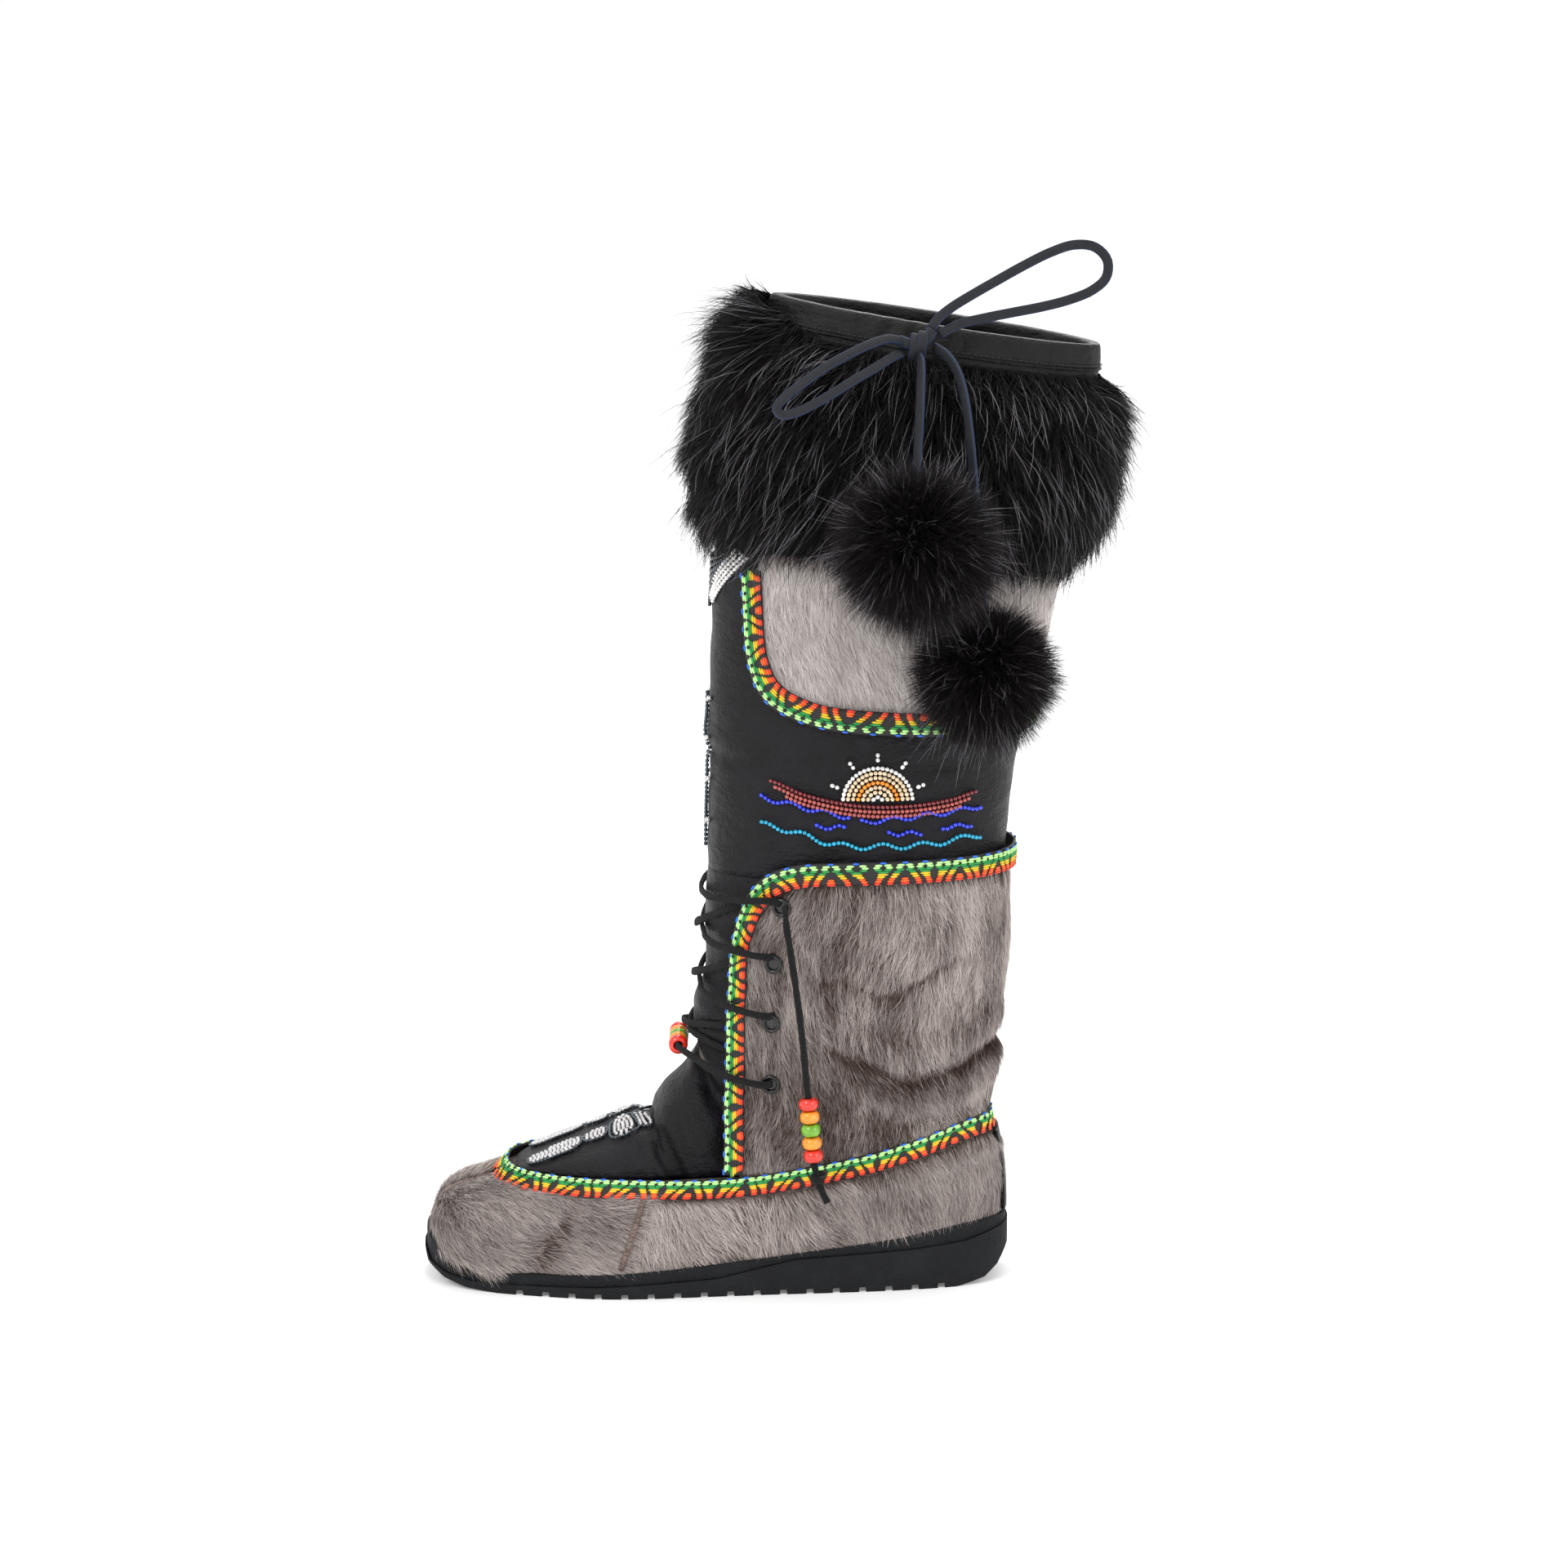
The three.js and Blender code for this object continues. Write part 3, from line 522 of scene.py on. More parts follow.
class Sheet:
    """A grid of points laid out by place(u, v) in millimetres, with its outward normals."""

    def __init__(self, place, columns, rows):
        self.columns, self.rows = columns, rows
        grid = [[place(i / columns, j / rows) for j in range(rows + 1)] for i in range(columns + 1)]
        self.points = np.array(grid, float)
        self.flip = False
        self.find_normals()
        core = self.points * [1, 0, 1]
        core[..., 0] = np.clip(core[..., 0], -60, 90)
        core[..., 2] = np.minimum(core[..., 2], 40)
        self.flip = float((self.normals * (self.points - core)).sum()) < 0
        self.find_normals()

    def find_normals(self):
        along, up = np.gradient(self.points, axis=0), np.gradient(self.points, axis=1)
        normals = np.cross(along, up) * (-1 if self.flip else 1)
        self.normals = normals / np.maximum(np.linalg.norm(normals, axis=2, keepdims=True), 1e-9)

    def swell(self, depth):
        """Moves each point out along its normal by depth(point)."""
        depths = np.array([[depth(*p) for p in column] for column in self.points])
        self.points = self.points + self.normals * depths[..., None]
        self.find_normals()
        return self

    def sample(self, u, v):
        x, y = u * self.columns, v * self.rows
        i = np.minimum(x.astype(int), self.columns - 1)
        j = np.minimum(y.astype(int), self.rows - 1)
        a, b = (x - i)[:, None], (y - j)[:, None]

        def between(grid):
            low = grid[i, j] * (1 - a) + grid[i + 1, j] * a
            high = grid[i, j + 1] * (1 - a) + grid[i + 1, j + 1] * a
            return low * (1 - b) + high * b

        normals = between(self.normals)
        return between(self.points), normals / np.linalg.norm(normals, axis=1, keepdims=True)

    def skin(self, name, finish, thick=0.0, closed=False):
        """The sheet as a mesh piece: thick gives it a wall inwards, closed joins its first and last columns."""
        bm = bmesh.new()
        bm.loops.layers.uv.new("cloth")
        bmesh.ops.create_grid(bm, x_segments=self.columns, y_segments=self.rows, size=0.5, calc_uvs=True)
        for vert in bm.verts:
            i = round((vert.co.x + 0.5) * self.columns)
            j = round((vert.co.y + 0.5) * self.rows)
            vert.co = self.points[i, j] * MM
        if self.flip:
            bmesh.ops.reverse_faces(bm, faces=bm.faces[:])
        if closed:
            bmesh.ops.remove_doubles(bm, verts=bm.verts[:], dist=1e-5)
        piece = to_object(name, bm, finish)
        if thick:
            wall = piece.modifiers.new("wall", "SOLIDIFY")
            wall.thickness = thick * MM
            wall.offset = -1
        return piece


def reach_along(points):
    """How far along a line each of its points lies."""
    return np.concatenate([[0], np.cumsum(np.linalg.norm(np.diff(points, axis=0), axis=1))])


def picked(spots, reach, values):
    """The values at some distances along a line."""
    return np.stack([np.interp(spots, reach, values[:, a]) for a in range(3)], axis=-1)


def smooth_path(points, count):
    """count points evenly spaced along the smooth curve through some points."""
    p = np.array(points, float)
    p = np.vstack([2 * p[0] - p[1], p, 2 * p[-1] - p[-2]])
    fine = []
    for k in range(1, len(p) - 2):
        gaps = [max(np.linalg.norm(p[m + 1] - p[m]) ** 0.5, 1e-6) for m in (k - 1, k, k + 1)]
        before, rise, after = p[k] - p[k - 1], p[k + 1] - p[k], p[k + 2] - p[k + 1]
        m1 = before / gaps[0] - (p[k + 1] - p[k - 1]) / (gaps[0] + gaps[1]) + rise / gaps[1]
        m2 = rise / gaps[1] - (p[k + 2] - p[k]) / (gaps[1] + gaps[2]) + after / gaps[2]
        m1, m2 = m1 * gaps[1], m2 * gaps[1]
        for s in np.linspace(0, 1, 17)[:-1]:
            fine.append(p[k] + s * m1 + s * s * (3 * rise - 2 * m1 - m2) + s ** 3 * (m1 + m2 - 2 * rise))
    fine.append(p[-2])
    fine = np.array(fine)
    reach = reach_along(fine)
    return picked(np.linspace(0, reach[-1], count), reach, fine)


def path_length(path):
    return float(np.linalg.norm(np.diff(path, axis=0), axis=1).sum())


def sweep(bm, path, width, thick, hint, sides=12, squareness=3.0, size=None):
    """Carries a rounded section along a path. hint(k) is roughly the way its flat face looks."""
    last = len(path) - 1
    tangents = np.gradient(path, axis=0)
    if not bm.loops.layers.uv:
        bm.loops.layers.uv.new("around")
    made = bmesh.ops.create_grid(bm, x_segments=sides, y_segments=last, size=0.5, calc_uvs=True)["verts"]
    for vert in made:
        k = round((vert.co.y + 0.5) * last)
        angle = 2 * math.pi * (vert.co.x + 0.5)
        way = Vector(tangents[k]).normalized()
        face = Vector(hint(k))
        face = (face - way * face.dot(way)).normalized()
        grown = size(k / last) if size else 1
        out = way.cross(face) * signed_power(math.cos(angle), 2 / squareness) * width / 2
        out += face * signed_power(math.sin(angle), 2 / squareness) * thick / 2
        vert.co = (Vector(path[k]) + out * grown) * MM
    bmesh.ops.remove_doubles(bm, verts=made, dist=1e-6)
    rims = [e for e in bm.edges if e.is_boundary]
    bmesh.ops.holes_fill(bm, edges=rims, sides=0)
    bmesh.ops.recalc_face_normals(bm, faces=bm.faces[:])


HAIR_ROOM = ((-148, -130, 0.4), (204, 73.6, 500))    # the box every hair tip stays inside
HAIR_SINK = 0.3                                      # how deep a hair's root sits in its sheet


def strand_piece(name, finish, paths, widths, faces_to, tones):
    """Hairs as tapering ribbons. paths is (hairs, levels, 3), in millimetres."""
    hairs, levels = paths.shape[:2]
    pairs = levels - 1
    sizes = 2 * pairs + 1
    verts = np.empty((hairs, sizes, 3))
    taper = np.linspace(1, 0.35, pairs)
    for k in range(pairs):
        reach = faces_to * (widths * taper[k] / 2)[:, None]
        verts[:, 2 * k] = paths[:, k] - reach
        verts[:, 2 * k + 1] = paths[:, k] + reach
    verts[:, -1] = paths[:, -1]
    verts = np.clip(verts, *HAIR_ROOM)
    pattern = []
    for k in range(pairs - 1):
        pattern += [2 * k, 2 * k + 1, 2 * k + 3, 2 * k + 2]
    pattern += [2 * pairs - 2, 2 * pairs - 1, 2 * pairs]
    pattern = np.array(pattern)
    corners = (pattern[None, :] + (np.arange(hairs) * sizes)[:, None]).ravel()
    starts = (4 * np.arange(pairs)[None, :] + (np.arange(hairs) * len(pattern))[:, None]).ravel()
    mesh = bpy.data.meshes.new(name)
    mesh.vertices.add(hairs * sizes)
    mesh.vertices.foreach_set("co", (verts * MM).ravel())
    mesh.loops.add(len(corners))
    mesh.loops.foreach_set("vertex_index", corners)
    mesh.polygons.add(len(starts))
    mesh.polygons.foreach_set("loop_start", starts)
    mesh.update(calc_edges=True)
    layer = mesh.uv_layers.new(name="OFBake")
    heights = np.array([k / pairs for k in range(pairs) for _ in range(2)] + [1.0])
    across = np.repeat(np.clip(tones, 0.01, 0.99), len(pattern))
    up = np.tile(heights[pattern], hairs)
    layer.data.foreach_set("uv", np.stack([across, up], axis=1).ravel())
    mesh.polygons.foreach_set("use_smooth", [True] * len(starts))
    return show(name, mesh, finish)


def unit(vectors):
    return vectors / np.maximum(np.linalg.norm(vectors, axis=1, keepdims=True), 1e-9)


def patchy(points, size, seed):
    """A smooth random value from 0 to 1 at each point."""
    shift = Vector((seed * 17.3, seed * 5.1, -seed * 9.7))
    return np.array([noise.noise(Vector(p) / size + shift) for p in points]) * 0.5 + 0.5


def grow(name, finish, sheet, count, seed, length, width, flow, tones, lift, curl, tuft, levels=3, keep=None,
         twist=0.9, trim=None, spread=0.16):
    """Hair over a sheet: flow(points, normals) is the way it lies and tones(points) how light it is.

    lift, curl, tuft and twist are how far hairs stand off, stray, gather and roll. keep(u, v, points) thins
    them and trim(u, v) shortens them. spread is how much the tone differs from hair to hair.
    """
    rng = np.random.default_rng(seed)
    u, v = rng.random(count), rng.random(count)
    points, normals = sheet.sample(u, v)
    if keep is not None:
        kept = rng.random(count) < keep(u, v, points)
        u, v, points, normals = u[kept], v[kept], points[kept], normals[kept]
    hairs = len(points)
    flat = flow(points, normals)
    flat = unit(flat - normals * (flat * normals).sum(axis=1, keepdims=True))
    side = np.cross(normals, flat)
    wave = (patchy(points, 14, seed) - 0.5)[:, None] * tuft
    flat = unit(flat + side * (rng.normal(0, curl, hairs)[:, None] + wave))
    side = np.cross(normals, flat)
    reach = (length * rng.uniform(0.65, 1.15, hairs))[:, None]
    if trim is not None:
        reach = reach * trim(u, v)[:, None]
    lifts = (lift * rng.uniform(0.5, 1.5, hairs))[:, None]
    sway = rng.normal(0, curl, hairs)[:, None]
    path = np.empty((hairs, levels, 3))
    for k, t in enumerate(np.linspace(0, 1, levels)):
        rise = lifts * reach * (t * 1.5 - t * t * 0.75)
        path[:, k] = points - normals * HAIR_SINK + flat * reach * t + normals * rise
        path[:, k] += side * sway * reach * t * t
    roll = rng.normal(0, twist, hairs)[:, None]
    ribbon = unit(side * np.cos(roll) + normals * np.sin(roll))
    tone = tones(points) + rng.normal(0, spread, hairs)
    return strand_piece(name, finish, path, width * rng.uniform(0.7, 1.3, hairs), ribbon, tone)


def strew(name, finishes, template, frames, kinds=None):
    """Copies of a small shape, one at each 4 x 4 frame in millimetres, with a finish number each."""
    bm = bmesh.new()
    template(bm)
    bm.verts.index_update()
    base = np.array([(*v.co, 1.0) for v in bm.verts])
    faces = [[v.index for v in f.verts] for f in bm.faces]
    bm.free()
    frames = np.array([np.array(f) for f in frames])
    verts = np.einsum("nij,vj->nvi", frames[:, :3, :], base).reshape(-1, 3) * MM
    mesh = bpy.data.meshes.new(name)
    every = [[i + n * len(base) for i in face] for n in range(len(frames)) for face in faces]
    mesh.from_pydata(verts.tolist(), [], every)
    if kinds is not None:
        mesh.polygons.foreach_set("material_index", np.repeat(np.array(kinds, np.int32), len(faces)))
    mesh.polygons.foreach_set("use_smooth", [True] * len(every))
    mesh.update()
    return show(name, mesh, *finishes)


def frame_at(spot, along, outward, size=(1, 1, 1)):
    """A frame whose X runs along and whose Z looks outward, scaled by size."""
    x = Vector(along).normalized()
    z = Vector(outward)
    z = (z - x * z.dot(x)).normalized()
    y = z.cross(x)
    turn = Matrix((x * size[0], y * size[1], z * size[2])).transposed().to_4x4()
    return Matrix.Translation(Vector(spot)) @ turn


ON_X_AXIS = Matrix.Rotation(math.pi / 2, 4, "Y")


def stitch_shape(bm):
    bmesh.ops.create_uvsphere(bm, u_segments=6, v_segments=4, radius=1, matrix=ON_X_AXIS)


def seed_shape(bm):
    bmesh.ops.create_uvsphere(bm, u_segments=8, v_segments=5, radius=1, matrix=ON_X_AXIS)


PONY_RADIUS = 4.5
PONY_HOLE = 1.95
PONY_LENGTH = 5.7
PONY_PROFILE = (
    # radius, and height as a share of the length
    (PONY_HOLE, -0.42), (PONY_HOLE + 0.5, -0.5), (PONY_RADIUS * 0.72, -0.46), (PONY_RADIUS * 0.95, -0.27),
    (PONY_RADIUS, 0), (PONY_RADIUS * 0.95, 0.27), (PONY_RADIUS * 0.72, 0.46), (PONY_HOLE + 0.5, 0.5),
    (PONY_HOLE, 0.42))


def spin_round(bm, geom, steps):
    """Turns an outline once round the Z axis."""
    bmesh.ops.spin(bm, geom=geom, axis=(0, 0, 1), cent=(0, 0, 0), angle=2 * math.pi, steps=steps,
                   use_merge=True)


def pony_bead(name, finish, spot, axis):
    """A round-shouldered bead turned about its own hole."""
    bm = bmesh.new()
    ring = [bm.verts.new((r, 0, h * PONY_LENGTH)) for r, h in PONY_PROFILE]
    edges = [bm.edges.new((a, b)) for a, b in zip(ring, ring[1:] + ring[:1])]
    spin_round(bm, ring + edges, 24)
    bmesh.ops.remove_doubles(bm, verts=bm.verts[:], dist=1e-4)
    bmesh.ops.recalc_face_normals(bm, faces=bm.faces[:])
    turn = Vector(axis).to_track_quat("Z", "Y").to_matrix().to_4x4()
    bm.transform(Matrix.Scale(MM, 4) @ Matrix.Translation(Vector(spot)) @ turn)
    return to_object(name, bm, finish)


# ---- Cords: the bow, its tails and the lace tails ----
FRONT_LOOP = [
    (82, -42, 436.5), (76, -47, 438), (68, -53, 436.5), (58, -58, 432.5), (48, -62.5, 427.5),
    (39, -66, 421.5), (31, -68.5, 415.5), (27, -70, 411), (29, -71.5, 408), (35, -71, 408.8),
    (43, -69, 412.2), (52, -66, 417), (61, -62, 422), (70, -56.5, 426.5), (77, -49.5, 429.8),
    (81.8, -44.2, 431.4)]
REAR_LOOP = [
    (94.6, -37, 440.8), (98, -35.5, 445.5), (104, -33.5, 450.2), (113, -32, 455.6), (124, -31, 461.8),
    (136, -30, 468.4), (148, -29, 474.2), (158, -28, 477.2), (167, -27.5, 476.2), (172.6, -27.5, 470.4),
    (172.2, -28, 462.8), (166, -29, 457.2), (156, -30, 453.2), (144, -31, 450.2), (131, -32, 447.8),
    (118, -33.5, 445.4), (107, -35, 442.8), (98.6, -36.8, 438.6)]
FRONT_TAIL = [
    (89.5, -45.6, 430), (90.2, -49.6, 428.8), (90.3, -53, 426.5), (90.3, -56, 423.5),
    (90.1, -58.4, 420.1), (90, -60.3, 416.3), (89.8, -61.9, 412.4), (89.7, -63, 408.4),
    (89.5, -63.9, 404.3), (89.3, -64.7, 400.2), (89, -65.6, 396.1), (88.7, -67, 392.1),
    (88.5, -68.9, 388.5), (88.2, -71.5, 385.1), (87.9, -74.3, 382.1), (87.8, -77.4, 379.2)]
REAR_TAIL = [
    (96.3, -40, 433.4), (100.8, -44.3, 431.2), (104.3, -48.3, 427.4), (106.8, -52.1, 422.6),
    (108.5, -55.4, 417.1), (109.7, -58.1, 411.2), (110.6, -60, 405), (111.4, -61.5, 398.6),
    (112.1, -62.6, 392.1), (112.7, -63.4, 385.6), (113.3, -64, 379.1), (113.8, -64.4, 372.5),
    (114.3, -64.8, 365.9), (114.9, -65.1, 359.4), (115.4, -65.3, 352.8), (115.9, -65.6, 346.2),
    (116.3, -66, 339.6), (116.7, -66.8, 333.1), (116.9, -68.3, 326.7), (117.1, -70.4, 320.4)]
LACE_TAIL = [
    (31, -50, 176), (31.6, -51.5, 172), (32.6, -52.4, 166), (33.8, -52.8, 158), (35, -53, 150),
    (36.2, -53.2, 141), (37.4, -53.4, 132), (38.4, -53.6, 123), (39.3, -53.8, 114), (40.1, -54, 105),
    (40.9, -54.2, 97), (41.6, -54.4, 89), (42.3, -54.6, 81), (43, -54.8, 73), (43.9, -55, 65),
    (45.4, -55.2, 58), (47.6, -55.3, 52), (49.8, -55.4, 47.5)]
LACE_BEND = [(30.4, -43, 180.6), (30.6, -47.6, 180.6), (30.9, -50.2, 178.8), (31.1, -50.4, 176)]
THONG_WIDTH = 4.4
THONG_THICK = 2.0
LACE_WIDTH = 3.1
BOW_KNOT = (89, -40.6, 434.2)
POMPOMS = {
    # the ball's middle, its radius and its down's length
    "front": ((87.6, -90.5, 354.2), 25, 21),
    "rear": ((117.8, -78.5, 296), 24, 17),
}
LONGEST_HAIR = 26
BEAD_ORDER = ("red", "orange", "green", "orange", "red")
BEAD_PITCH = 6
TAIL_BEADS_START = 0.645
TAIL_KNOT_SHARE = 0.905
LACE_THICK = LACE_WIDTH * 0.82
LACE_POINTS = 110


def thong_piece(name, path, hint, body, node):
    bm = bmesh.new()
    sweep(bm, path, THONG_WIDTH, THONG_THICK, hint, 16, 3.4)
    return settle(to_object(name, bm, THONG), body, "leather_thong", node)


def pompom(name, spot, radius, down_length, seed, body):
    """A dark ball of dense underfur with long hairs standing out of it, combed down a little."""
    centre = np.array(spot)
    bm = bmesh.new()
    bmesh.ops.create_icosphere(bm, subdivisions=5, radius=1)
    for vert in bm.verts:
        lump = noise.noise(vert.co * 3.1 + Vector((seed, 0, 0))) * 0.16
        vert.co = (Vector(spot) + vert.co * radius * (0.74 + lump)) * MM
    pieces = [settle(to_object(name + "_core", bm, BLACK_HIDE), body, "black_fur", name)]
    rng = np.random.default_rng(seed)
    coats = (
        # name, hairs, length, how the length spreads, width, how pale, finish; the guard hairs' paleness is
        # partly their own grey and partly painted sheen
        ("down", 22000, down_length, (0.78, 1.04), 0.5, 0, BLACK_HAIR),
        ("guard", 900, down_length * 1.15, (0.9, 1.25), 0.42, 0.35, GUARD_HAIR_AND_SHEEN))
    for part, hairs, length, spread, width, pale, finish in coats:
        ways = unit(rng.normal(0, 1, (hairs, 3)))
        lumps = (patchy(ways * 10, 6, seed) - 0.5) * 0.36 + 1
        reach = length * lumps * rng.uniform(*spread, hairs)
        reach = np.minimum(reach, LONGEST_HAIR + 9 * np.minimum(ways[:, 1], 0))
        lean = unit(rng.normal(0, 1, (hairs, 3))) * 0.4
        path = np.empty((hairs, 4, 3))
        for k, t in enumerate(np.linspace(0, 1, 4)):
            bend = lean * t * t + np.array([0, 0, -0.25]) * t * t
            path[:, k] = centre + ways * radius * 0.72 + (ways * t + bend) * reach[:, None]
        facing = unit(np.cross(ways, rng.normal(0, 1, (hairs, 3))))
        tones = rng.uniform(0, 0.6, hairs) + pale
        hair = strand_piece(f"{name}_{part}", finish, path, np.full(hairs, width), facing, tones)
        pieces.append(settle(hair, body, "black_fur"))
    return pieces


def hang_pompom(place, points, seed):
    spot, radius, down_length = POMPOMS[place]
    body = f"pompom_{place}"
    path = smooth_path(points, 60)
    face = {"front": (-0.8, -1, 0.2), "rear": (-0.9, -1, 0.1)}[place]
    tail = thong_piece(f"thong_{place}", path, lambda k: face, body, f"thong_tail_{place}")
    ball = pompom(f"pompom_{place}", spot, radius, down_length, seed, body)


def tie_bow():
    for place, points, face in (("front", FRONT_LOOP, (0.1, -1, 0.75)), ("rear", REAR_LOOP, (-0.2, -1, 0.25))):
        path = smooth_path(points, 90)
        loop = thong_piece(f"bow_{place}", path, lambda k: face, "leg", f"bow_loop_{place}")
    bm = bmesh.new()
    knot = Vector(BOW_KNOT)
    turns = np.linspace(0, 2 * math.pi, 41)
    wrap = np.array([knot + Vector((0.6 * math.sin(a), 3.4 * math.cos(a), 5.2 * math.sin(a))) for a in turns])
    for shift, width in ((-1.7, 4.0), (1.9, 4.4)):
        sweep(bm, wrap + np.array([shift, 0, shift * 0.3]), width, 1.9,
              lambda k: Vector(wrap[k]) - knot, 14, 3.4)
    core = ((-8.5, -1, 2.4), (-4, -1.2, 1), (0, -1, 0), (4, 0.6, 3), (6.4, 3, 6.4))
    under = smooth_path([knot + Vector(p) for p in core], 24)
    sweep(bm, under, 5.2, 3.6, lambda k: (0, -1, 0.2), 14, 2.4)
    settle(to_object("bow_wrap", bm, THONG), "leg", "leather_thong", "bow_knot")


def hang_lace(side):
    sign = -SIDES[side]
    body = f"lace_tail_{side}"
    path = smooth_path(LACE_TAIL, LACE_POINTS) * np.array([1, sign, 1])
    bm = bmesh.new()
    sweep(bm, path, LACE_WIDTH, LACE_THICK, lambda k: (0.2, -sign, 0), 12, 2.6,
          lambda s: 1 + 0.1 * math.sin(s * 61) * math.sin(s * 23))
    lace = settle(to_object(f"lace_end_{side}", bm, SUEDE), body, "suede_lace", f"lace_tail_{side}")
    bend = smooth_path(LACE_BEND, 24) * np.array([1, sign, 1])
    bm = bmesh.new()
    sweep(bm, bend, LACE_WIDTH, LACE_THICK, lambda k: (1, 0, 0), 12, 2.6)
    settle(to_object(f"lace_bend_{side}", bm, SUEDE), "leg", "suede_lace")
    length = path_length(path)
    steps = np.gradient(path, axis=0)
    for k, colour in enumerate(BEAD_ORDER):
        at = round((TAIL_BEADS_START + k * BEAD_PITCH / length) * (LACE_POINTS - 1))
        name = f"tail_bead_{side}_{k + 1}"
        bead = pony_bead(f"pony_{side}_{k + 1}", BEAD_GLASS[colour], path[at], steps[at])
        settle(bead, body, f"bead_{colour}", name)
    knot = Vector(path[round(TAIL_KNOT_SHARE * (LACE_POINTS - 1))])
    turns = np.linspace(0, 2.6 * math.pi, 44)
    coil = np.array([knot + Vector((2.1 * math.cos(a), 2.0 * math.sin(a), 2.6 - 1.9 * a / math.pi))
                     for a in turns])
    bm = bmesh.new()
    sweep(bm, coil, 2.9, 2.3, lambda k: Vector(coil[k]) - knot, 10, 2.6)
    settle(to_object(f"lace_knot_{side}", bm, SUEDE), body, "suede_lace")


tie_bow()
hang_pompom("front", FRONT_TAIL, 11)
hang_pompom("rear", REAR_TAIL, 12)
for side in SIDES:
    hang_lace(side)


# ---- Sole ----
LIP_HALF = 30                # how far the toe lip reaches to each side
LIP_BACK = -108
LIP_FOOT = 12
HARD_CORNER = math.radians(28)
SMOOTH_LIMIT = math.radians(40)


def lower_lip(bm):
    """Runs the turned-up toe lip down to the sole's edge on both sides."""
    for y in range(-LIP_HALF, LIP_HALF + 1, 6):
        bmesh.ops.bisect_plane(bm, geom=bm.verts[:] + bm.edges[:] + bm.faces[:], plane_co=(0, y * MM, 0),
                               plane_no=(0, 1, 0))
    for vert in bm.verts:
        x, y, z = vert.co / MM
        if x < LIP_BACK and z > LIP_FOOT:
            vert.co.z = mix(z, LIP_FOOT, 0.12 + 0.78 * eased(6, LIP_HALF, abs(y))) * MM


def soften_sole(node, bevel):
    """A merged copy of a sole layer with its corners rounded."""
    bm = bmesh.new()
    bm.from_mesh(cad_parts[node].data)
    bmesh.ops.remove_doubles(bm, verts=bm.verts[:], dist=1e-6)
    bmesh.ops.dissolve_limit(bm, angle_limit=math.radians(1), verts=bm.verts[:], edges=bm.edges[:])
    if node == "midsole":
        lower_lip(bm)
    corners = [e for e in bm.edges if e.is_manifold and e.calc_face_angle(0) > HARD_CORNER]
    bmesh.ops.bevel(bm, geom=corners, offset=bevel * MM, affect="EDGES", segments=2, profile=0.5,
                    material=-1, clamp_overlap=True)
    bmesh.ops.triangulate(bm, faces=bm.faces[:])
    for edge in bm.edges:
        edge.smooth = edge.calc_face_angle(0) < SMOOTH_LIMIT
    return to_object(f"{node}_rubber", bm, RUBBER)


def make_sole():
    settle(soften_sole("outsole", 0.7), "foot", "rubber", "outsole")
    settle(soften_sole("midsole", 0.9), "foot", "rubber", "midsole")
    plain = {"insole": FELT, "foot_lining": LINING, "leg_lining": LINING, "drawstring": THONG}
    for node, finish in plain.items():
        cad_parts[node].data.materials[0] = finish.material


# ---- Fur strip round the foot ----
SEAMS = {"outer": 0.21, "inner": 0.79}     # the turns at which the toe's strip meets the heel's
SEAM_GAP = 0.002
FOXING_OFF = 1.6
toe_fullness = through([(0, 0.75), (0.25, 1), (0.5, 0.95), (0.8, 0.35), (1, 0)])


def foxing_sheet(start, end):
    def place(u, v):
        lumps = 0.5 * noise.noise(Vector((u * 9, v * 3, end * 7)))
        swell = 2.6 * math.sin(math.pi * min(v * 1.04, 1)) + lumps
        turn = mix(start, end, u)
        toe = eased(-82, -113, rail(turn, *BASE_RAIL)[0])
        return on_foot(turn, mix(0.01, 1.12, v), FOXING_OFF + swell + 15.5 * toe * toe_fullness(v))

    return Sheet(place, 110, 16)


def near_sole(points):
    """1 just above the sole's edge, falling to 0 higher up."""
    edge = np.interp(points[:, 0], *zip(*MIDSOLE_EDGE))
    return np.clip(1 - (points[:, 2] - edge) / 12, 0, 1)


def sweep_back(points, normals):
    """Round the toe the hair lies back towards the heel and a little down."""
    ways = np.tile(np.array([1.0, 0, -0.25]), (len(points), 1))
    ways[:, 2] -= 0.9 * near_sole(points)
    front = np.clip((-70 - points[:, 0]) / 50, 0, 1)
    ways[:, 1] = np.sign(points[:, 1]) * front * 1.6
    ways[:, 2] -= front * 0.5
    ways[:, 2] += 0.28 * np.sin(points[:, 0] * 0.09 + points[:, 2] * 0.12)
    return ways


def sweep_down_back(points, normals):
    ways = np.tile(np.array([0.55, 0, -1.0]), (len(points), 1))
    ways[:, 0] += 0.35 * np.sin(points[:, 0] * 0.11 + points[:, 1] * 0.1)
    ways[:, 0] *= np.clip((118 - points[:, 0]) / 40, 0, 1)
    return ways


def toe_tones(points):
    wide = patchy(points, 21, 3) - 0.38
    fine = patchy(points * [1, 1, 3], 5, 4) - 0.5
    return 0.46 + 1.1 * wide + 0.7 * fine


def heel_tones(points):
    pale = np.clip((62 - points[:, 0]) / 50, 0, 1) * (0.3 + 0.3 * (points[:, 2] > 30))
    wide = patchy(points, 16, 5) - 0.5
    fine = patchy(points * [3, 3, 1], 5, 6) - 0.5
    return 0.46 + pale + 0.9 * wide + 0.6 * fine


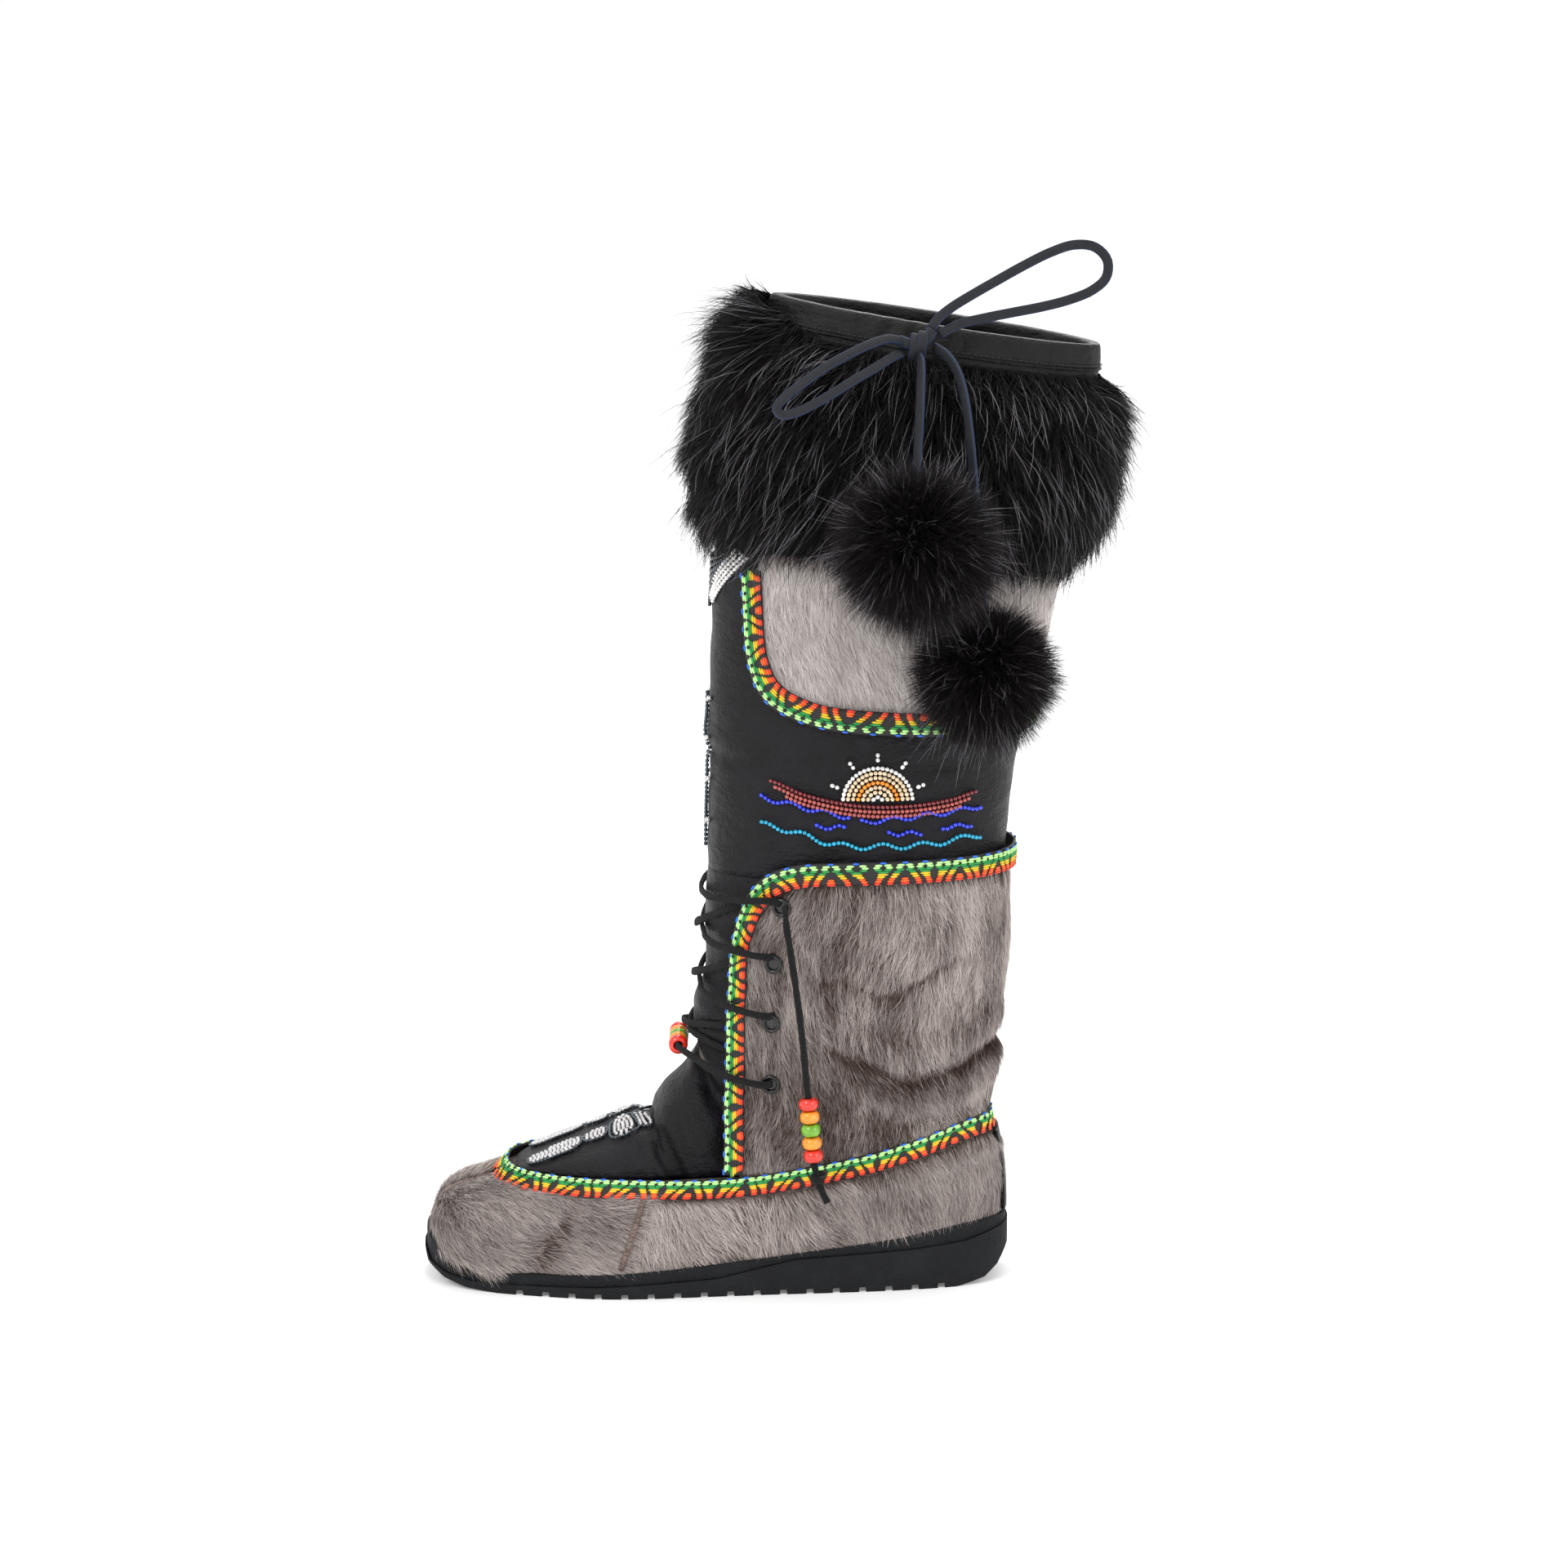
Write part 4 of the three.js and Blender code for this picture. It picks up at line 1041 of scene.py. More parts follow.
def make_foxing():
    outer, inner = SEAMS.values()
    strips = {
        "toe": (inner - 1 + SEAM_GAP, outer - SEAM_GAP, sweep_back, toe_tones),
        "heel": (outer + SEAM_GAP, inner - SEAM_GAP, sweep_down_back, heel_tones),
    }
    for place, (start, end, flow, tones) in strips.items():
        sheet = foxing_sheet(start, end)
        settle(sheet.skin(f"{place}_foxing_hide", FOOT_HIDE, 2.2), "foot", "seal_fur", f"{place}_foxing")
        hair = grow(f"{place}_foxing_hair", SEAL_HAIR, sheet, count=42000, seed=21, length=12.5, width=0.5,
                    flow=flow, tones=tones, lift=0.16, curl=0.14, tuft=0.6, spread=0.26)
        settle(hair, "foot", "seal_fur")
    for name, turn in SEAMS.items():
        bm = bmesh.new()
        path = np.array([on_foot(turn, level, 3.6 + 2.4 * math.sin(math.pi * min(level, 1)))
                         for level in np.linspace(0.03, 1.0, 30)])
        sweep(bm, path, 2.6, 3.0, lambda k: (0, SIDES[name], 0), 10, 2.2)
        settle(to_object(f"foxing_seam_{name}", bm, FOOT_HIDE), "foot", "seal_fur")

    def tab(u, v):
        return on_foot(mix(0.474, 0.526, u), mix(0.0, 0.98, v), 5.6 + 1.2 * math.sin(math.pi * v))

    settle(Sheet(tab, 12, 16).skin("heel_tab", BLACK_LEATHER, 1.6), "foot", "leather")


# ---- Leather of the foot and leg ----
FRONT_ROWS = (
    # lower edge x and z, ridge x and z, and how far the section is the leg's
    (-92.9, 52.3, -92.9, 52.4, 0), (-88, 52.6, -88.5, 54.2, 0), (-80, 52.8, -81, 57, 0),
    (-71, 53, -71.5, 61.2, 0), (-61, 53.2, -61.5, 65.2, 0), (-51, 53.3, -51.5, 69.6, 0),
    (-43, 53.4, -43.5, 73.2, 0), (-36, 53.5, -36.5, 75.2, 0), (-30, 53.5, -31.6, 76.4, 0),
    (-25, 53.5, -30.4, 79.6, 0), (-20, 53.5, -28.2, 83.2, 0), (-14, 53.5, -24.6, 88.4, 0),
    (-8, 53.6, -20.6, 93, 0.1), (-2, 53.6, -16.4, 98, 0.2), (4, 53.8, -12.2, 103, 0.35),
    (9, 55, -9, 108, 0.5), (14, 59, -6.8, 112.4, 0.62), (18, 67, -6.6, 116.4, 0.75),
    (21, 80, -8.8, 120.5, 0.87), (23, 96, -10.2, 125, 0.95), (24, 110, -10.2, 130, 1),
    (24.5, 122, -8, 135.5, 1), (24.7, 132, -5.4, 140, 1), (25, 142, -4.6, 146, 1),
    (25.5, 150, -4.6, 152, 1), (26, 157, -5.2, 158, 1), (27, 165, -5.6, 165, 1), (30, 174, -5.4, 174, 1),
    (36, 183, -4.6, 183, 1), (46, 192, leg_front(192), 192, 1))
ROW_FINENESS = 4
FRONT_COLUMNS = 64
FRONT_LINES = [through([(k, row[a]) for k, row in enumerate(FRONT_ROWS)]) for a in range(5)]
throat_valley = through([(54, -17), (62, -21), (70, -26), (77, -31)])
tongue_valley = through([(-12, 107), (-6, 97), (0, 88), (8, 83), (16, 81)])


def front_point(u, v):
    """The leather from the toe up the instep to the leg's front: u runs across it and v up it."""
    x_low, z_low, x_top, z_top, share = [line(v * (len(FRONT_ROWS) - 1)) for line in FRONT_LINES]
    across = 2 * u - 1
    angle = abs(across) * math.pi / 2
    side = 1 if across > 0 else -1
    way = rail_turn(x_low, *UPPER_RAIL)
    half = abs(rail(way if side < 0 else 1 - way, *UPPER_RAIL)[1]) - 0.4
    fall = 1 - math.cos(angle) ** (2 / 2.3)
    y = side * half * math.sin(angle) ** (2 / 2.3)
    foot = Vector((mix(x_top, x_low, fall), y, mix(z_top, z_low, fall)))
    if share <= 0:
        return foot
    z = mix(z_top, z_low, 1 - math.cos(angle))
    turn = across * abs(turn_at(x_low, max(z_low, LEG_FOOT)))
    leg = on_leg(turn, max(z, LEG_FOOT), 0.3)
    leg.z = z
    leg.x += (x_top - leg_front(max(z_top, LEG_FOOT))) * (1 - abs(across)) ** 2
    return foot.lerp(leg, share)


def instep_folds(x, y, z):
    side = eased(0, 12, abs(y))
    low = eased(82, 70, z)
    fold = -4.6 * low * hump(x, throat_valley(z), 5.5) * (0.45 + 0.55 * side)
    fold += 4.8 * hump(x, -8, 13) * hump(z, 74, 13) * side
    fold -= 4.6 * hump(z, tongue_valley(x), 6.5) * side * eased(-14, -4, x)
    fold += 2.4 * hump(z, tongue_valley(x) + 13, 6) * side
    fold += 0.9 * low * hump(x, throat_valley(z), 13) * math.sin(x * 0.95 + z * 0.5 + abs(y) * 0.1)
    fold += 0.8 * hump(z, 118, 16) * math.sin(z * 0.62 + abs(y) * 0.22) * side
    fold += 1.3 * (noise.noise(Vector((x, y * 0.8, z)) / 15)) * eased(-80, -40, x)
    return fold * eased(191, 172, z)


def leather_top(x):
    return rim_height(x) - 12.4


def shaft_leather_point(u, v):
    front_share = 0.42
    edge = abs(turn_at(46, 192))
    if u <= front_share:
        turn = mix(-edge, edge, u / front_share)
    else:
        turn = mix(edge, 2 * math.pi - edge, (u - front_share) / (1 - front_share))
    middle = on_leg(turn, mix(192, 440, v))
    z = mix(192, leather_top(middle.x), v)
    creased = eased(192, 204, z)
    ripple = 0.9 * noise.noise(Vector((middle.x, middle.y, z * 1.6)) / 26)
    return on_leg(wrapped(turn), z, 0.3 * (1 - creased) + creased * (0.6 + slack(middle.x, z) + ripple))


def make_leather_body():
    front = Sheet(front_point, FRONT_COLUMNS, ROW_FINENESS * (len(FRONT_ROWS) - 1))
    last = front.points[:, -1].copy()
    front.swell(instep_folds)
    front.points[:, -1] = last
    shaft_sheet = Sheet(shaft_leather_point, 152, 90)
    settle(front.skin("vamp_leather", BLACK_LEATHER, 1.2), "ankle", "leather", "vamp")
    settle(shaft_sheet.skin("leg_leather_skin", BLACK_LEATHER, 1.2, True), "leg", "leather", "leg_leather")
    return front


# ---- Quarter fur ----
QUARTER_FOOT = 55.5
QUARTER_TOP = 195
QUARTER_OFF = 1.9


def quarter_sheet(side):
    def place(u, v):
        z = mix(QUARTER_FOOT, QUARTER_TOP, v)
        edge = turn_at(quarter_front(z) - 3, max(z, LEG_FOOT))
        turn = mix(edge, BACK_SEAM, u)
        if v < 0.1:
            height = braid_height(on_leg(turn, LEG_FOOT).x) + 7
            z = mix(height, mix(QUARTER_FOOT, QUARTER_TOP, 0.1), v / 0.1) if height > QUARTER_FOOT else z
        return shaft(on_side(turn, side), z, QUARTER_OFF)

    return Sheet(place, 90, 90)


def hang_down(points, normals):
    ways = np.tile(np.array([0.06, 0, -1.0]), (len(points), 1))
    ways[:, 0] += 0.30 * np.sin(points[:, 2] * 0.055 + points[:, 0] * 0.03)
    ways[:, 0] += 0.25 * (patchy(points, 26, 31) - 0.5) * 2
    return ways


def quarter_tones(points):
    x, z = points[:, 0], points[:, 2]
    tone = 0.1 + 1.1 * (patchy(points * [1, 1, 0.4], 15, 7) - 0.5)
    tone += 1.0 * (patchy(points * [1, 1, 0.14], 3.2, 8) - 0.5)
    tone += 0.3 * np.clip((z - 110) / 60, 0, 1) + 0.34 * np.clip((x - 50) / 50, 0, 1)
    # Darker in a band just below the ankle crease towards the back: painted shade in the crease.
    crease = np.array([ankle_crease(a) for a in x])
    tone -= 0.45 * np.exp(-((z - crease + 3) / 8) ** 2) * np.clip((x - 40) / 30, 0, 1)
    return tone


def make_quarters():
    for side, count in (("outer", 52000), ("inner", 40000)):
        sheet = quarter_sheet(side)
        nodes = [f"quarter_fur_{side}"] + (["counter"] if side == "outer" else [])
        settle(sheet.skin(f"quarter_hide_{side}", SEAL_HIDE, 1.6), "ankle", "seal_fur", *nodes)
        hair = grow(f"quarter_hair_{side}", SEAL_HAIR, sheet, count=count, seed=41, length=12, width=0.5,
                    flow=hang_down, tones=quarter_tones, lift=0.15, curl=0.14, tuft=0.7,
                    trim=lambda u, v: np.clip(v / 0.09, 0.3, 1), spread=0.26)
        settle(hair, "ankle", "seal_fur")


# ---- Pale patch ----
PATCH_START = 20.5           # the x at which the patch begins in front
PATCH_FOOT = 266
PATCH_TOP = 340
PATCH_OFF = 1.9
patch_bottom = through([(19, 300), (21, 290), (26, 280), (34, 273.5), (42, 270.5), (70, 266.5), (118, 265),
                        (160, 264)])


def patch_tones(points):
    wide = patchy(points * [1, 1, 0.4], 14, 9) - 0.5
    fine = patchy(points * [1, 1, 0.2], 3, 10) - 0.5
    return 0.62 + 0.5 * wide + 0.4 * fine


def make_patches():
    def lie(points, normals):
        ways = np.tile(np.array([0.25, 0, -1.0]), (len(points), 1))
        ways[:, 0] += 0.2 * np.sin(points[:, 2] * 0.09)
        return ways

    for side in SIDES:
        def place(u, v):
            start = on_leg(mix(turn_at(PATCH_START, PATCH_FOOT), BACK_SEAM, u), PATCH_FOOT)
            z = mix(patch_bottom(start.x), PATCH_TOP, v)
            turn = mix(turn_at(PATCH_START, z), BACK_SEAM, u)
            return shaft(on_side(turn, side), z, PATCH_OFF)

        sheet = Sheet(place, 60, 30)
        settle(sheet.skin(f"patch_hide_{side}", PALE_HIDE, 1.6), "leg", "pale_seal_fur", f"leg_patch_{side}")
        hair = grow(f"patch_hair_{side}", PALE_HAIR, sheet, count=24000, seed=51, length=10.5, width=0.5,
                    flow=lie, tones=patch_tones, lift=0.13, curl=0.12, tuft=0.4,
                    keep=lambda u, v, points: (v > 0.07) & (v + u * 0.3 > 0.09))
        settle(hair, "leg", "pale_seal_fur")


# ---- Woven braid ----
BRAID_WIDTH = 10.5
BRAID_PERIOD = 24.0
BRAID_END = 1.2              # the bare tape at each end
FLOAT_OFF = 0.95             # how far a float's middle stands off the tape's seat
BRAID_ROWS = (
    # colour, then each float's middle and length along the repeat
    ("blue", ((0, 2.6), (8, 2.6), (16, 2.6))),
    ("pale", ((-1.6, 3.1), (1.6, 3.1), (6.4, 3.1), (9.6, 3.1), (14.4, 3.1), (17.6, 3.1))),
    ("pale", ((-2.2, 2.8), (2.2, 2.8), (5.8, 2.8), (10.2, 2.8), (13.8, 2.8), (18.2, 2.8))),
    ("green", ((-1.8, 3.4), (1.8, 3.4), (6.3, 3.2), (9.7, 3.2), (14.3, 3.2), (17.7, 3.2))),
    ("green", ((-2.9, 3), (2.9, 3), (8, 5), (16, 5))),
    ("yellow", ((-3.5, 3), (3.5, 3), (8.2, 4.4), (15.8, 4.4))),
    ("yellow", ((-4.2, 2.8), (4.2, 2.8), (8.8, 3.2), (15.2, 3.2))),
    ("orange", ((0, 2.8), (-4.9, 2.6), (4.9, 2.6), (9.3, 2.6), (14.7, 2.6))),
    ("orange", ((0, 3.8), (-5.4, 2.6), (5.4, 2.6), (9.8, 2.6), (14.2, 2.6))),
    ("red", ((0, 3.8), (-5.6, 2.6), (5.6, 2.6), (10.1, 2.5), (13.9, 2.5))))


def weave(name, spot, length, body, node, closed=False, columns=160):
    """A black tape with coloured floats on it. spot(s, w, off) places a point s along it and w across it."""
    repeats = max(round(length / BRAID_PERIOD), 1)
    stretch = length / (repeats * BRAID_PERIOD)

    def place(u, v):
        crown = 0.75 * math.sin(math.pi * min(max(v, 0.02), 0.98)) ** 0.5
        return spot(u * length, (v - 0.5) * BRAID_WIDTH, crown)

    tape = Sheet(place, columns, 8)
    settle(tape.skin(f"{name}_tape", BRAID_TAPE, 0.9, closed), body, "woven_braid", node)
    colours = list(BRAID_THREADS)
    row_height = BRAID_WIDTH / len(BRAID_ROWS)
    frames, kinds = [], []
    for repeat in range(repeats):
        for row, (colour, floats) in enumerate(BRAID_ROWS):
            across = (row + 0.5) * row_height - BRAID_WIDTH / 2
            for middle, long in floats:
                s = (repeat * BRAID_PERIOD + middle + 6.5) * stretch
                if s < BRAID_END or s > length - BRAID_END:
                    continue
                at = Vector(spot(s, across, FLOAT_OFF))
                along = Vector(spot(s + 0.8, across, FLOAT_OFF)) - Vector(spot(s - 0.8, across, FLOAT_OFF))
                out = Vector(spot(s, across, FLOAT_OFF + 1)) - at
                frames.append(frame_at(at, along, out, (long * stretch / 2 + 0.25, 0.62, 0.58)))
                kinds.append(colours.index(colour))
    threads = strew(f"{name}_threads", list(BRAID_THREADS.values()), stitch_shape, frames, kinds)
    settle(threads, body, "woven_braid")


def braid_foot():
    """The braid's line round the foot, measured so that its pattern keeps an even pitch."""
    turns = np.linspace(0, 1, 721)
    line = np.array([on_foot(t, 1.5, 0) for t in turns])
    reach = reach_along(line)

    def spot(s, w, off):
        turn = float(np.interp(s, reach, turns))
        level = 1.52 - w / BRAID_WIDTH * 0.94
        lean = 0.9 * (w / BRAID_WIDTH) ** 2
        return on_foot(turn, level, 2.7 + off + lean)

    weave("foot_braid", spot, float(reach[-1]), "foot", "foot_braid", closed=True, columns=260)


MEAN_RADIUS = 62             # lets a turn round the leg be drawn as a length
BACK = None                  # stands for the seam behind
LEG_BRAID_OFF = 4.3
QUARTER_LINE = ((BACK, 198), (118, 198), (61, 197), (36, 195), (24, 189), (16, 175), (11.5, 152), (10, 120),
                (9.5, 101), (8.6, 80), (8.2, 56.5))
PATCH_LINE = ((BACK, 263), (118, 264), (70, 266), (42, 270), (26, 279), (20, 293), (18, 319), (17.5, 332))


def braid_leg(kind, line, side, body):
    flat = [((BACK_SEAM if x is BACK else turn_at(x, max(z, LEG_FOOT))) * MEAN_RADIUS, z, 0) for x, z in line]
    path = smooth_path(flat, 400)
    reach = reach_along(path)
    ways = unit(np.gradient(path, axis=0))

    def spot(s, w, off):
        a, z, _ = picked(s, reach, path).tolist()
        wa, wz, _ = picked(s, reach, ways).tolist()
        w = -w if kind == "patch" else w
        turn = (a + wz * w) / MEAN_RADIUS
        return shaft(on_side(turn, side), z - wa * w, LEG_BRAID_OFF + off)

    weave(f"{kind}_braid_{side}", spot, float(reach[-1]), body, f"{kind}_braid_{side}")


make_sole()
make_foxing()
front_sheet = make_leather_body()
make_quarters()
make_patches()
braid_foot()
for side in SIDES:
    braid_leg("quarter", QUARTER_LINE, side, "ankle")
    braid_leg("patch", PATCH_LINE, side, "leg")


# ---- Fur cuff ----
# how thick the dense underfur is from the cuff's lower edge, 0, to its upper edge, 1
cuff_fullness = through([(0, 0.18), (0.1, 0.62), (0.35, 1), (0.6, 0.9), (0.85, 0.5), (1, 0.12)])
front_fullness = through([(0, 0.18), (0.1, 0.62), (0.35, 1), (0.6, 1.05), (0.85, 1.0), (1, 0.6)])


def cuff_point(u, v):
    turn = 2 * math.pi * u
    middle = on_leg(turn, mix(330, 436, v))
    low = mix(348, 335, middle.x / 160)
    front = eased(60, 18, middle.x)
    z = mix(low, rim_height(middle.x) - 14.2 + 15 * front ** 2, v)
    depth = (9 + 5 * abs(math.cos(turn))) * mix(cuff_fullness(v), front_fullness(v), front)
    lump = 1 + 0.28 * noise.noise(Vector((middle.x, middle.y, z)) / 17)
    return on_leg(wrapped(turn), z, 1.2 + depth * lump)


def cuff_flow(points, normals):
    """The hair hangs down and towards the toe in front, and straight down in tufts behind."""
    ways = np.tile(np.array([-0.42, 0, -1.0]), (len(points), 1))
    ways[:, 0] += 0.5 * np.clip((points[:, 0] - 60) / 100, 0, 1)
    ways[:, 0] += 1.1 * (patchy(points, 24, 61) - 0.5)
    ways[:, 1] += 0.9 * (patchy(points, 19, 62) - 0.5)
    high = np.clip((points[:, 2] - 428) / 16, 0, 1) * np.clip((50 - points[:, 0]) / 40, 0, 1)
    ways[:, 0] -= 1.2 * high
    ways[:, 2] += 1.5 * high
    return ways


def cuff_tones(points):
    return 0.22 + 0.6 * (patchy(points, 15, 63) - 0.5)


def make_cuff():
    sheet = Sheet(cuff_point, 150, 40)
    settle(sheet.skin("cuff_hide", BLACK_HIDE, 0, True), "leg", "black_fur", "fur_cuff")
    down = (("front", 71, lambda u, v, points: (u < 0.25) | (u > 0.75)),
            ("back", 72, lambda u, v, points: (u >= 0.25) & (u <= 0.75)))
    for half, seed, keep in down:
        hair = grow(f"cuff_down_{half}", BLACK_HAIR, sheet, count=60000, seed=seed, length=14, width=0.5,
                    flow=cuff_flow, tones=cuff_tones, lift=0.6, curl=0.3, tuft=1.6, levels=4, keep=keep,
                    twist=1.2)
        settle(hair, "leg", "black_fur")

    def guard_tones(points):
        return np.random.default_rng(77).uniform(0, 1, len(points)) ** 1.6

    long = grow("cuff_long", BLACK_HAIR, sheet, count=9000, seed=73, length=24, width=0.36, flow=cuff_flow,
                tones=guard_tones, lift=0.5, curl=0.2, tuft=1.3, levels=4)
    settle(long, "leg", "black_fur")
    # Grey guard hairs, partly the cuff's own grey hair and partly painted sheen.
    guard = grow("cuff_guard_and_sheen", GUARD_HAIR_AND_SHEEN, sheet, count=2600, seed=74, length=27, width=0.42, flow=cuff_flow,
                 tones=guard_tones, lift=0.75, curl=0.12, tuft=0.6, levels=4)
    settle(guard, "leg", "black_fur")


# ---- Casing with its drawstring channel ----
CASING_LEVEL = 440
CASING_MIDDLE = 95
CASING_PROFILE = (
    # share of the way from outside to inside, how far off the leg, and how far below the rim
    (0, 1.4, 17.5), (0.14, 1.7, 13), (0.3, 2.0, 9.5), (0.5, 1.7, 5), (0.64, 1.1, 1.4), (0.7, 0.1, 0.1),
    (0.74, -1.2, 0), (0.8, -3.8, 0.1), (0.86, -5.4, 1.2), (0.92, -6.2, 4.5), (1, -6.2, 12.4))
SEAM_PLACE = (2.1, 11.2)
STITCH_PLACE = (2.5, 9.6)
CASING_STITCHES = 170


def casing_point(profile):
    """The casing's surface, gathered at the knot. profile(v) gives how far off and how far below the rim."""
    def place(u, v):
        turn = 2 * math.pi * u
        off, drop = profile(v)
        middle = on_leg(turn, CASING_LEVEL)
        z = rim_height(middle.x) - drop
        gather = hump(math.hypot(middle.x - BOW_KNOT[0], (middle.y + 40) * 0.8), 0, 26)
        pleat = math.sin(middle.x * 0.55) * gather * 1.1
        pleat += 0.8 * noise.noise(Vector((middle.x, middle.y, z)) / 13)
        pleat += 0.35 * noise.noise(Vector((middle.x, middle.y, z * 0.5)) / 4)
        return on_leg(wrapped(turn), z, off + pleat)

    return place


def make_casing():
    off = through([(v, o) for v, o, d in CASING_PROFILE])
    drop = through([(v, d) for v, o, d in CASING_PROFILE])
    sheet = Sheet(casing_point(lambda v: (off(v), drop(v))), 240, 40)
    settle(sheet.skin("casing_leather", CASING_LEATHER, 0, True), "leg", "leather", "collar_casing")
    bm = bmesh.new()
    on_seam = casing_point(lambda v: SEAM_PLACE)
    seam = np.array([on_seam(t / (2 * math.pi), 0) for t in np.linspace(0, 2 * math.pi, 241)])
    sweep(bm, seam, 1.5, 1.3, lambda k: (0, 0, 1), 8, 2.2)
    settle(to_object("casing_seam", bm, CASING_LEATHER), "leg", "leather")
    frames = []
    on_stitch = casing_point(lambda v: STITCH_PLACE)
    line = np.array([on_stitch(k / CASING_STITCHES, 0) for k in range(CASING_STITCHES)])
    steps = np.gradient(line, axis=0)
    for k in range(CASING_STITCHES):
        out = line[k] - np.array([CASING_MIDDLE, 0, line[k][2]])
        frames.append(frame_at(line[k], steps[k], out, (1.15, 0.34, 0.3)))
    settle(strew("casing_stitches", [BRAID_TAPE], stitch_shape, frames), "leg", "leather")


# ---- Eyelets and lacing ----
LACE_LEVELS = (180.5, 154, 126.5, 98)
eyelet_x = through([(96, 25), (154, 26.5), (181, 30)])
SURFACE_OFF = 4.5
OVER_BRAID = 8.2
NEAR_LEATHER = 2.9
EDGE_TURN = 0.38
UNDER_BRAID = 0.88
EYELET_RING = 3.45
EYELET_WIRE = 0.95
EYELET_HOLE = 3.0
BAR_X = -18
BAR_Z = 110


def mirrored(points):
    """The same points on the inner side, from the last to the first."""
    return [Vector((p.x, -p.y, p.z)) for p in reversed(points)]


def make_eyelets():
    for level, z in enumerate(LACE_LEVELS):
        for side, sign in SIDES.items():
            turn = -sign * turn_at(eyelet_x(z), z)
            seat = shaft(turn, z, SURFACE_OFF - 0.6)
            out = shaft(turn, z, SURFACE_OFF + 1) - seat
            bm = bmesh.new()
            upright = Matrix.Translation((EYELET_RING, 0, 0)) @ Matrix.Rotation(math.pi / 2, 4, "X")
            bmesh.ops.create_circle(bm, segments=10, radius=EYELET_WIRE, matrix=upright)
            spin_round(bm, bm.verts[:] + bm.edges[:], 32)
            bmesh.ops.remove_doubles(bm, verts=bm.verts[:], dist=1e-4)
            bmesh.ops.create_circle(bm, segments=24, radius=EYELET_HOLE, cap_ends=True,
                                    matrix=Matrix.Translation((0, 0, -0.4)))
            bmesh.ops.recalc_face_normals(bm, faces=bm.faces[:])
            aim = out.to_track_quat("Z", "Y").to_matrix().to_4x4()
            bm.transform(Matrix.Scale(MM, 4) @ Matrix.Translation(seat) @ aim)
            body = "ankle" if z == LACE_LEVELS[-1] else "leg"
            ring = to_object(f"eyelet_ring_{side}_{level + 1}", bm, EYELET_METAL)
            settle(ring, body, "eyelet_metal", f"eyelet_{side}_{level + 1}")


def crossing_path(start, levels, sign, rise):
    low, middle, high = levels
    front = [(-0.34, 5.2), (-0.2, NEAR_LEATHER + rise + 0.4), (0, NEAR_LEATHER + rise),
             (0.2, NEAR_LEATHER + rise * 0.6), (EDGE_TURN, NEAR_LEATHER), (EDGE_TURN + 0.25, 2.4),
             (UNDER_BRAID, 1.6)]
    if start < -EDGE_TURN:
        near = [(start, SURFACE_OFF - 1.5), (start + 0.03, SURFACE_OFF + 2),
                (start + 0.12, SURFACE_OFF + 3.6)]
        route = near + [(-0.88, OVER_BRAID), (-0.7, OVER_BRAID - 0.4), (-0.54, OVER_BRAID - 0.6)] + front
    else:
        route = [(-UNDER_BRAID, 1.0), (start - 0.25, 1.6), (start, NEAR_LEATHER - 0.6)] + front[1:]
    points = []
    for turn, off in route:
        z = mix(low, middle, 1 - turn / start) if turn < 0 else mix(middle, high, turn / EDGE_TURN)
        points.append(on_leg(turn * sign, z, off))
    return smooth_path(points, 60)


def lay_lace(bm, path):
    def face(k):
        return Vector((path[k][0] - 45, path[k][1] * 1.4, 0))

    sweep(bm, path, 3.3, 2.1, face, 12, 2.8, lambda s: 1 + 0.07 * math.sin(s * 47) * math.sin(s * 19))


def make_lacing():
    starts = (turn_at(eyelet_x(154), 154), turn_at(eyelet_x(126.5), 126.5), -EDGE_TURN)
    levels = ((157.5, 164, 172), (130, 141, 147), (115, 118.5, 121))
    for k in range(3):
        bm = bmesh.new()
        lay_lace(bm, crossing_path(starts[k], levels[k], 1, 0))
        lay_lace(bm, crossing_path(starts[k], levels[k], -1, 2.6))
        settle(to_object(f"lace_over_{k + 1}", bm, SUEDE), "leg", "suede_lace", f"lace_crossing_{k + 1}")
    eyelet_turn = turn_at(eyelet_x(98), 98)
    half = [(eyelet_turn, 98, 3), (eyelet_turn + 0.03, 98.2, 7), (-0.92, 100.5, 8.8), (-0.7, 103.5, 8.6),
            (-0.52, 106.5, 8.2)]
    half = [on_leg(*p) for p in half]
    straight = [Vector((BAR_X, y, BAR_Z)) for y in (-16, -8, 0, 8, 16)]
    bm = bmesh.new()
    lay_lace(bm, smooth_path(half + straight + mirrored(half), 110))
    settle(to_object("lace_bar_beaded", bm, SUEDE), "ankle", "suede_lace", "lace_bar_bottom")
    for k, colour in enumerate(BEAD_ORDER):
        spot = (BAR_X, (k - 2) * BEAD_PITCH, BAR_Z)
        bead = pony_bead(f"pony_bar_{k + 1}", BEAD_GLASS[colour], spot, (0, 1, 0))
        settle(bead, "ankle", f"bead_{colour}", f"bar_bead_{k + 1}")
    turns = (-1.1, -1.04, -0.86, -0.66, -0.5, -0.25, 0)
    offs = (3, 7.4, 8.4, 8.2, 7.8, 4.4, 3.4)
    levels = (182, 184, 183.4, 182.8, 182.2, 181.6, 181)
    half = [on_leg(*p) for p in zip(turns, levels, offs)]
    bm = bmesh.new()
    lay_lace(bm, smooth_path(half + mirrored(half[:-1]), 90))
    settle(to_object("lace_bar_plain", bm, SUEDE), "leg", "suede_lace", "lace_bar_top")


# ---- Seed-bead work ----
SEED = 2.05                  # the pitch of the seed beads
LEAF_PITCH = 1.9
SUN_MIDDLE = (72, 229.5)


